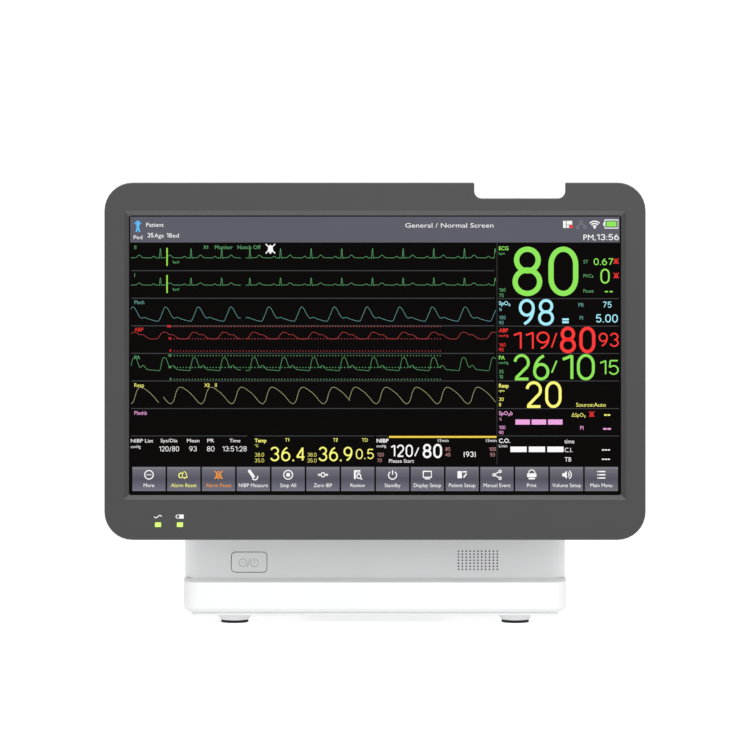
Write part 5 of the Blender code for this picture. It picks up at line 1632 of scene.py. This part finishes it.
# Each socket's label, depth of its bore, radius of its bore and number of its pins, in millimetres.
SOCKETS = {
    "ecg_socket": ("ECG", 11.0, 7.5, 11),
    "spo2_socket": ("SpO₂", 11.0, 6.2, 8),
    "ibp_socket_1": ("IBP 1", 10.0, 5.5, 6),
    "ibp_socket_2": ("IBP 2", 10.0, 5.5, 6),
    "temp_socket_1": ("T 1", 10.0, 3.6, 2),
    "temp_socket_2": ("T 2", 10.0, 3.6, 2),
    "cardiac_output_socket": ("C.O.", 10.0, 6.0, 6),
    "second_spo2_socket": ("SpO₂", 11.0, 6.2, 8),
}
CORE_DOWN = 5.0 * MM  # from a socket's mouth to its insulating core
PIN_R = 0.5 * MM


def centre_on(plane, node):
    """A node's middle on a face, in millimetres across and down from the face's start, and half its height."""
    low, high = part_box(node)
    away = (low + high) / 2 - plane.start
    return away.dot(plane.across) / MM, -away.z / MM, (high.z - low.z) / 2 / MM


def socket_inside(name):
    """Insulating core and contact pins of a socket."""
    _, depth, bore, count = SOCKETS[name]
    low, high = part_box(name)
    mouth = Vector((low.x, (low.y + high.y) / 2, (low.z + high.z) / 2))
    floor = mouth + Vector((depth * MM, 0, 0))
    body = BODY_OF[name]
    core = bmesh.new()
    length = depth * MM - CORE_DOWN
    radius = (bore - 0.9) * MM
    profile = [(-0.2 * MM, radius), (length - 0.3 * MM, radius), (length, radius - 0.3 * MM)]
    turned(core, floor, (-1, 0, 0), profile, 32)
    show(name + "_core", solid_mesh("core", core), body, finish("black_plastic"))
    pin = bmesh.new()
    turned(pin, (0, 0, 0), (0, 0, 1), [(-0.3 * MM, PIN_R), (2.2 * MM, PIN_R), (2.6 * MM, 0.4 * PIN_R)], 12)
    ring = 0.56 * bore * MM
    turns = [2 * math.pi * i / count for i in range(count)]
    start = floor - Vector((length, 0, 0))
    marks = [(start + Vector((0, ring * math.cos(t), ring * math.sin(t))), (-1, 0, 0)) for t in turns]
    show(name + "_pins", on_marks(solid_mesh("pin", pin), finish("gold_pin"), marks), body)


def module_labels(node, sockets, extra=()):
    """Names printed above the sockets of a module, and an arrow mark above its latch."""
    plane = face_of(node, "left")
    ink = printing(node + "_labels", plane)
    for name in sockets:
        x, y, half = centre_on(plane, name)
        ink.write(SOCKETS[name][0], x, y - half - 1.4, 2.9, weight=0.015, align="CENTER")
    for name, words in extra:
        x, y, half = centre_on(plane, name)
        ink.write(words, x, y - half - 1.6, 2.9, weight=0.015, align="CENTER")
    x, y, half = centre_on(plane, node + "_latch")
    ink.plate([(x - 2.2, y - half - 1.6), (x, y - half - 3.8), (x + 2.2, y - half - 1.6)])
    ink.finish(finish("marking"), BODY_OF[node], "grey_plastic")


RIDGE_STAND = 0.35 * MM  # height of a grip ridge


def ridges(name, node, side, count, pitch, width, down=0.0, colour_name="grey_plastic"):
    """Grip ridges across the face of a small piece."""
    plane = face_of(node, side)
    work = bmesh.new()
    along = plane.across * (width * MM / 2)
    for i in range(count):
        middle = plane.start - Vector((0, 0, (down + (i - (count - 1) / 2) * pitch) * MM))
        out = plane.out * RIDGE_STAND
        flat = Vector((0, 0, 0.35 * MM))
        corners = [middle - along - flat - plane.out * 0.3 * MM, middle + along + flat + out]
        low = [min(a, b) for a, b in zip(*corners)]
        high = [max(a, b) for a, b in zip(*corners)]
        block(work, low, high)
    show(name, solid_mesh(name, work, 0.15 * MM), BODY_OF[node], finish(colour_name))


# ---------------------------------------------------------------- recorder and battery


def rounded_plate(ink, left, top, right, foot, radius, steps=6):
    """A rectangle with round corners."""
    corners = []
    for x, y, turn in ((right, foot, 0), (left, foot, 90), (left, top, 180), (right, top, 270)):
        middle_x = x - radius if x == right else x + radius
        middle_y = y - radius if y == foot else y + radius
        for i in range(steps + 1):
            a = math.radians(turn + 90 * i / steps)
            corners.append((middle_x + radius * math.cos(a), middle_y + radius * math.sin(a)))
    ink.plate(corners)


def recorder_details():
    """Window and paper mark on the recorder's door, and the mark on its release."""
    door = face_of("recorder_door", "right")
    window = Ink("recorder_window", 0.3 * MM, 0.6 * MM, door)
    rounded_plate(window, -24.0, 2.0, 24.0, 24.0, 3.0)
    window.finish(finish("smoked_window"), BODY_OF["recorder_door"], "black_plastic")
    mark = printing("recorder_mark", door)
    mark.line([(-3.5, -21.0), (3.5, -21.0), (3.5, -13.0), (-3.5, -13.0)], 0.6, closed=True)
    for down in (-18.6, -17.0, -15.4):
        mark.box(-2.0, down - 0.25, 2.0, down + 0.25)
    mark.finish(finish("marking"), BODY_OF["recorder_door"], "grey_plastic")
    release = printing("recorder_release_mark", face_of("recorder_release", "right"))
    release.plate([(-2.4, 0.8), (0.0, -2.4), (2.4, 0.8)])
    release.box(-2.4, 1.6, 2.4, 2.4)
    release.finish(finish("pale_marking"), BODY_OF["recorder_release"], "grey_plastic")


def battery_details():
    """Grip and mark on the battery's door."""
    ridges("battery_door_grip", "battery_door", "right", 5, 2.0, 26.0, -13.5, colour_name="white_shell")
    mark = printing("battery_door_mark", face_of("battery_door", "right"))
    mark.line([(-6.0, 5.0), (6.0, 5.0), (6.0, 11.0), (-6.0, 11.0)], 0.6, closed=True)
    mark.box(6.5, 6.8, 7.6, 9.2)
    for left in (-4.8, -1.2, 2.4):
        mark.box(left, 6.2, left + 2.4, 9.8)
    mark.finish(finish("marking"), BODY_OF["battery_door"], "grey_plastic")


# ---------------------------------------------------------------- rear panel

IO_FLOOR = 1.5 * MM  # thickness of the panel's floor


def port_contacts():
    """Blades, contacts and tongues inside the connectors."""
    low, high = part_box("mains_inlet")
    middle = (low + high) / 2
    blades = bmesh.new()
    for x, z in ((-7.0, -1.8), (7.0, -1.8), (0.0, 3.4)):
        at = Vector((middle.x + x * MM, high.y, middle.z + z * MM))
        block(blades, at + Vector((-1.0, -15.2, -2.0)) * MM, at + Vector((1.0, -4.0, 2.0)) * MM)
    mesh = solid_mesh("blades", blades, 0.3 * MM)
    show("mains_inlet_blades", mesh, "host", finish("screw_steel"))
    low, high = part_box("network_port")
    middle = (low + high) / 2
    wire = bmesh.new()
    block(wire, Vector((-0.2, -11.0, -0.15)) * MM, Vector((0.2, -3.0, 0.15)) * MM)
    start = Vector((middle.x - 3.57 * MM, high.y, middle.z + 2.6 * MM))
    mesh = in_rows(solid_mesh("wire", wire), finish("gold_pin"), 8, 1, start, (1.02 * MM, 0, 0))
    show("network_port_contacts", mesh, "host")
    low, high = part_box("usb_port")
    middle = (low + high) / 2
    tongue = bmesh.new()
    block(tongue, Vector((-5.4, -12.2, -0.9)) * MM, Vector((5.4, -1.6, 0.9)) * MM)
    start = Vector((middle.x, high.y, middle.z - 3.2 * MM))
    unit = solid_mesh("tongue", tongue, 0.15 * MM)
    mesh = in_rows(unit, finish("black_plastic"), 1, 2, start, (0, 0, 0), (0, 0, 7.6 * MM))
    show("usb_port_tongues", mesh, "host")
    low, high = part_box("video_port")
    middle = (low + high) / 2
    pin = bmesh.new()
    turned(pin, (0, 0, 0), (0, 1, 0), [(-0.3 * MM, 0.4 * MM), (1.7 * MM, 0.4 * MM), (2.0 * MM, 0.15 * MM)], 10)
    start = Vector((middle.x - 4.6 * MM, high.y - 3.4 * MM, middle.z - 2.0 * MM))
    mesh = in_rows(solid_mesh("pin", pin), finish("gold_pin"), 5, 3, start, (2.3 * MM, 0, 0), (0, 0, 2.0 * MM))
    show("video_port_pins", mesh, "host")


CONNECTOR_NAMES = {
    "mains_inlet": "100-240 V~",
    "network_port": "NET",
    "usb_port": "DATA",
    "video_port": "VIDEO",
}
RATING_LINES = (
    "INPUT 100-240 V~  50/60 Hz  1.5 A",
    "BATTERY 11.1 V  4.4 Ah",
    "IPX1   CLASS I   TYPE CF",
    "NO. 000 000 000",
)


def rear_printing():
    """Names of the connectors and the rating label."""
    low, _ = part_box("io_panel")
    plane = face_of("io_panel", "rear")
    plane.start.y = low.y + IO_FLOOR
    ink = printing("connector_names", plane)
    for name, words in CONNECTOR_NAMES.items():
        x, y, half = centre_on(plane, name)
        ink.write(words, x, y - half - 2.2, 2.4, align="CENTER")
    x, y, half = centre_on(plane, "ground_post")
    ink.bar(x, y - half - 6.4, x, y - half - 3.6, 0.5)
    for step, reach in ((3.6, 2.2), (2.8, 1.5), (2.0, 0.8)):
        ink.bar(x - reach, y - half - step, x + reach, y - half - step, 0.45)
    ink.finish(finish("marking"), "host", "grey_plastic")
    shell = face_of("host_rear_shell", "rear")
    label = printing("rating_label", shell, 0.010 * MM)
    rounded_plate(label, 88.0, -42.0, 138.0, -10.0, 2.0)
    label.finish(finish("label_film"), "host", "panel_white")
    words = printing("rating_label_words", shell, 0.018 * MM)
    words.write("PATIENT MONITOR", 91.0, -36.5, 2.6)
    words.box(91.0, -34.6, 135.0, -34.3)
    for row, line in enumerate(RATING_LINES):
        words.write(line, 91.0, -30.2 + 4.4 * row, 1.9)
    for i in range(24):
        wide = 0.35 + 0.35 * ((i * 7) % 3)
        words.box(91.0 + 1.8 * i, -14.2, 91.0 + 1.8 * i + wide, -11.6)
    words.finish(finish("black_plastic"), "host", "black_plastic")


# ---------------------------------------------------------------- printing on the shells


def status_symbols():
    """Mains and battery symbols above the two status lights."""
    for node, name in (("status_light_mains", "mains_symbol"), ("status_light_battery", "battery_symbol")):
        ink = printing(name, face_of(node, "front"))
        if node == "status_light_mains":
            wave = [(-3.2 + 0.2 * i, -6.8 - 1.0 * math.sin(math.pi * (-3.2 + 0.2 * i) / 3.2)) for i in range(33)]
            ink.line(wave, 0.75)
        else:
            ink.line([(-0.4, -8.2), (-2.6, -8.2), (-2.6, -5.4), (-0.4, -5.4)], 0.6)
            ink.box(-0.5, -8.5, 3.2, -5.1)
            ink.box(-3.6, -7.5, -3.0, -6.1)
        ink.finish(finish("pale_marking"), "host", "charcoal_frame")


def standby_symbols(ink, x, y, radius, pen, step):
    """A ring with a dot, a slash and the standby ring."""
    ink.arc(x - step, y, radius, pen, steps=28)
    ink.dot(x - step, y, pen, 12)
    ink.bar(x - 0.35 * radius, y + 1.15 * radius, x + 0.35 * radius, y - 1.15 * radius, pen)
    ink.arc(x + step, y, radius, pen, -60, 240, 24)
    ink.bar(x + step, y - 1.25 * radius, x + step, y - 0.1 * radius, pen)


# ---------------------------------------------------------------- studio


def studio():
    """Floor and backdrop in one round sweep, soft lights and the camera."""
    look = bpy.context.scene.studio_look
    reach, bend, rise, steps = 9.0, 2.5, 3.2, 96
    bends = [math.radians(a) for a in range(0, 91, 6)]
    profile = [(reach - bend + bend * math.sin(a), bend - bend * math.cos(a)) for a in bends] + [(reach, rise)]
    work = bmesh.new()
    turns = [2 * math.pi * i / steps for i in range(steps)]
    rings = [[work.verts.new((r * math.cos(t), r * math.sin(t), z)) for t in turns] for r, z in profile]
    work.faces.new(rings[0])
    for lower, upper in zip(rings, rings[1:]):
        for i in range(steps):
            j = (i + 1) % steps
            work.faces.new((lower[j], lower[i], upper[i], upper[j]))
    mesh = bpy.data.meshes.new("sweep")
    work.to_mesh(mesh)
    work.free()
    mesh.shade_smooth()
    paint = Finish("studio_paint", look.floor, 0.9)
    clouds = paint.noise(0.8, detail=2.0)
    paint.set("Base Color", clouds.blend(opaque(scaled(look.floor, 0.995)), opaque(scaled(look.floor, 1.005))))
    paint.set("Emission Color", opaque(1.0))
    paint.set("Emission Strength", look.floor_glow)
    sweep = bpy.data.objects.new("studio_sweep", mesh)
    mesh.materials.append(paint.material)
    bpy.context.scene.collection.objects.link(sweep)

    def softbox(name, at, aim, size, power):
        lamp = bpy.data.lights.new(name, "AREA")
        lamp.shape = "RECTANGLE"
        lamp.size, lamp.size_y = size
        lamp.energy = power
        made = bpy.data.objects.new(name, lamp)
        made.location = at
        made.rotation_euler = (Vector(aim) - Vector(at)).to_track_quat("-Z", "Y").to_euler()
        bpy.context.scene.collection.objects.link(made)

    softbox("overhead", (0.1, -1.65, 1.8), (0, 0, 0.15), (2.4, 1.6), look.overhead)
    softbox("front", (0.7, -2.7, 1.25), (0, 0, 0.15), (2.6, 1.2), look.fill)
    world = bpy.data.worlds.new("studio_surround")
    world.use_nodes = True
    surround = world.node_tree.nodes["Background"]
    surround.inputs["Color"].default_value = (1, 1, 1, 1)
    surround.inputs["Strength"].default_value = look.sky
    bpy.context.scene.world = world
    lens = bpy.data.cameras.new("camera")
    lens.lens = look.lens
    lens.sensor_width = 36.0
    lens.clip_end = 100.0
    camera = bpy.data.objects.new("camera", lens)
    camera.location = (0, FRAME_LOW.y - look.distance, look.eye)
    camera.rotation_euler = (math.radians(90), 0, 0)
    bpy.context.scene.collection.objects.link(camera)
    bpy.context.scene.camera = camera
    bpy.context.scene.view_settings.view_transform = "Standard"


# ---------------------------------------------------------------- operators


def all_refined(nodes, radius=None):
    """Finishes several nodes with the same edge rounding."""
    for node in nodes:
        refined(node, radius)


class MONITOR_OT_display(bpy.types.Operator):
    """Frame, rear cover, glass and the layers behind it."""

    bl_idname = "monitor.display"
    bl_label = "Display housing"

    def execute(self, context):
        refined("front_frame")
        screwed("display_rear_cover", COVER_SCREW_IN, "display_cover_screws")
        for node in ("touch_glass", "glass_gasket", "lcd_panel", "backlight_tray", "display_chassis"):
            carried(node)
        return {"FINISHED"}


class MONITOR_OT_picture(bpy.types.Operator):
    """The running picture."""

    bl_idname = "monitor.picture"
    bl_label = "Running picture"

    def execute(self, context):
        running_picture()
        return {"FINISHED"}


class MONITOR_OT_lamps(bpy.types.Operator):
    """Alarm lamp, status lights and the symbols above them."""

    bl_idname = "monitor.lamps"
    bl_label = "Lamps"

    def execute(self, context):
        refined("alarm_lamp_lens", 0.3 * MM)
        all_refined(("status_light_mains", "status_light_battery"), 0.25 * MM)
        carried("alarm_lamp_board")
        status_symbols()
        return {"FINISHED"}


class MONITOR_OT_housing(bpy.types.Operator):
    """Host shells, base and handle."""

    bl_idname = "monitor.housing"
    bl_label = "Housing"

    def execute(self, context):
        refined("host_front_shell", spared=grille_box())
        # Black discs of painted shade in the loudspeaker's holes.
        grille_cloth()
        screwed("host_rear_shell", REAR_SCREW_IN, "host_rear_screws")
        all_refined(("base_tray", "bottom_cover", "mounting_plate", "carry_handle"))
        seam_strip()
        return {"FINISHED"}


class MONITOR_OT_feet(bpy.types.Operator):
    """Feet and their rubber pads."""

    bl_idname = "monitor.feet"
    bl_label = "Feet"

    def execute(self, context):
        for node in NODES:
            if node.startswith("foot_pad"):
                refined(node, 0.12 * MM)
            elif node.startswith("foot_"):
                refined(node, 0.4 * MM, paint="foot_plastic")
        return {"FINISHED"}


class MONITOR_OT_power_key(bpy.types.Operator):
    """Power key and its symbols."""

    bl_idname = "monitor.power_key"
    bl_label = "Power key"

    def execute(self, context):
        refined("power_key", 0.3 * MM)
        ink = printing("power_key_symbols", face_of("power_key", "front"))
        standby_symbols(ink, -0.4, 0.5, 3.3, 0.5, 4.9)
        ink.finish(finish("key_marking"), "power_key", "grey_plastic")
        return {"FINISHED"}


class MONITOR_OT_modules(bpy.types.Operator):
    """The two measurement modules with their sockets, catches and labels."""

    bl_idname = "monitor.modules"
    bl_label = "Modules"

    def execute(self, context):
        all_refined(("parameter_module", "auxiliary_module", "nibp_nozzle"))
        all_refined(("parameter_module_latch", "auxiliary_module_latch", *SOCKETS), 0.3 * MM)
        for name in SOCKETS:
            socket_inside(name)
        ridges("parameter_latch_grip", "parameter_module_latch", "left", 3, 1.6, 13.0)
        ridges("auxiliary_latch_grip", "auxiliary_module_latch", "left", 3, 1.6, 13.0)
        for node in ("parameter_module", "auxiliary_module"):
            mine = [name for name in SOCKETS if BODY_OF[name] == BODY_OF[node]]
            module_labels(node, mine, [("nibp_nozzle", "NIBP")] if node == "parameter_module" else ())
        return {"FINISHED"}


class MONITOR_OT_recorder(bpy.types.Operator):
    """Recorder with its door, roller, paper and release."""

    bl_idname = "monitor.recorder"
    bl_label = "Recorder"

    def execute(self, context):
        all_refined(("recorder_frame", "recorder_door", "recorder_release"))
        all_refined(("platen_roller", "paper_roll", "print_head"), 0.2 * MM)
        recorder_details()
        return {"FINISHED"}


class MONITOR_OT_battery(bpy.types.Operator):
    """Battery pack and its door."""

    bl_idname = "monitor.battery"
    bl_label = "Battery"

    def execute(self, context):
        all_refined(("battery_door", "battery_pack"))
        battery_details()
        return {"FINISHED"}


class MONITOR_OT_rear_panel(bpy.types.Operator):
    """Connector panel with its connectors, and the printing on the back."""

    bl_idname = "monitor.rear_panel"
    bl_label = "Rear panel"

    def execute(self, context):
        refined("io_panel")
        all_refined(("mains_inlet", "network_port", "usb_port", "video_port", "ground_post"), 0.2 * MM)
        port_contacts()
        rear_printing()
        return {"FINISHED"}


class MONITOR_OT_inner_parts(bpy.types.Operator):
    """Everything inside that has no step of its own."""

    bl_idname = "monitor.inner_parts"
    bl_label = "Inner parts"

    def execute(self, context):
        for node, shape in NODES.items():
            if not shape.hide_render and MADE not in shape.material_slots[0].material:
                refined(node, 0.12 * MM)
        return {"FINISHED"}


class MONITOR_OT_studio(bpy.types.Operator):
    """Floor, backdrop, lights and camera."""

    bl_idname = "monitor.studio"
    bl_label = "Studio"

    def execute(self, context):
        studio()
        return {"FINISHED"}


class MONITOR_PT_panel(bpy.types.Panel):
    """Sidebar panel with the settings and all steps."""

    bl_idname = "MONITOR_PT_panel"
    bl_label = "Patient monitor"
    bl_space_type = "VIEW_3D"
    bl_region_type = "UI"
    bl_category = "Monitor"

    def draw(self, context):
        for look in (context.scene.shell_look, context.scene.screen_look, context.scene.studio_look):
            box = self.layout.box()
            for name in look.__annotations__:
                box.prop(look, name)
        for step in STEPS:
            self.layout.operator(step.bl_idname)


LOOKS = {"shell_look": ShellLook, "screen_look": ScreenLook, "studio_look": StudioLook}
STEPS = (
    MONITOR_OT_studio,
    MONITOR_OT_display,
    MONITOR_OT_picture,
    MONITOR_OT_lamps,
    MONITOR_OT_housing,
    MONITOR_OT_feet,
    MONITOR_OT_power_key,
    MONITOR_OT_modules,
    MONITOR_OT_recorder,
    MONITOR_OT_battery,
    MONITOR_OT_rear_panel,
    MONITOR_OT_inner_parts,
)


def register():
    """Makes the settings, the steps and the panel known to Blender."""
    for kind in (*LOOKS.values(), *STEPS, MONITOR_PT_panel):
        bpy.utils.register_class(kind)
    for name, kind in LOOKS.items():
        setattr(bpy.types.Scene, name, PointerProperty(type=kind))


def unregister():
    """Takes everything away again."""
    for name in LOOKS:
        delattr(bpy.types.Scene, name)
    for kind in (MONITOR_PT_panel, *reversed(STEPS), *reversed(LOOKS.values())):
        bpy.utils.unregister_class(kind)


def main():
    """Builds every piece."""
    register()
    for step in STEPS:
        group, action = step.bl_idname.split(".")
        getattr(getattr(bpy.ops, group), action)()


if __name__ == "__main__":
    main()
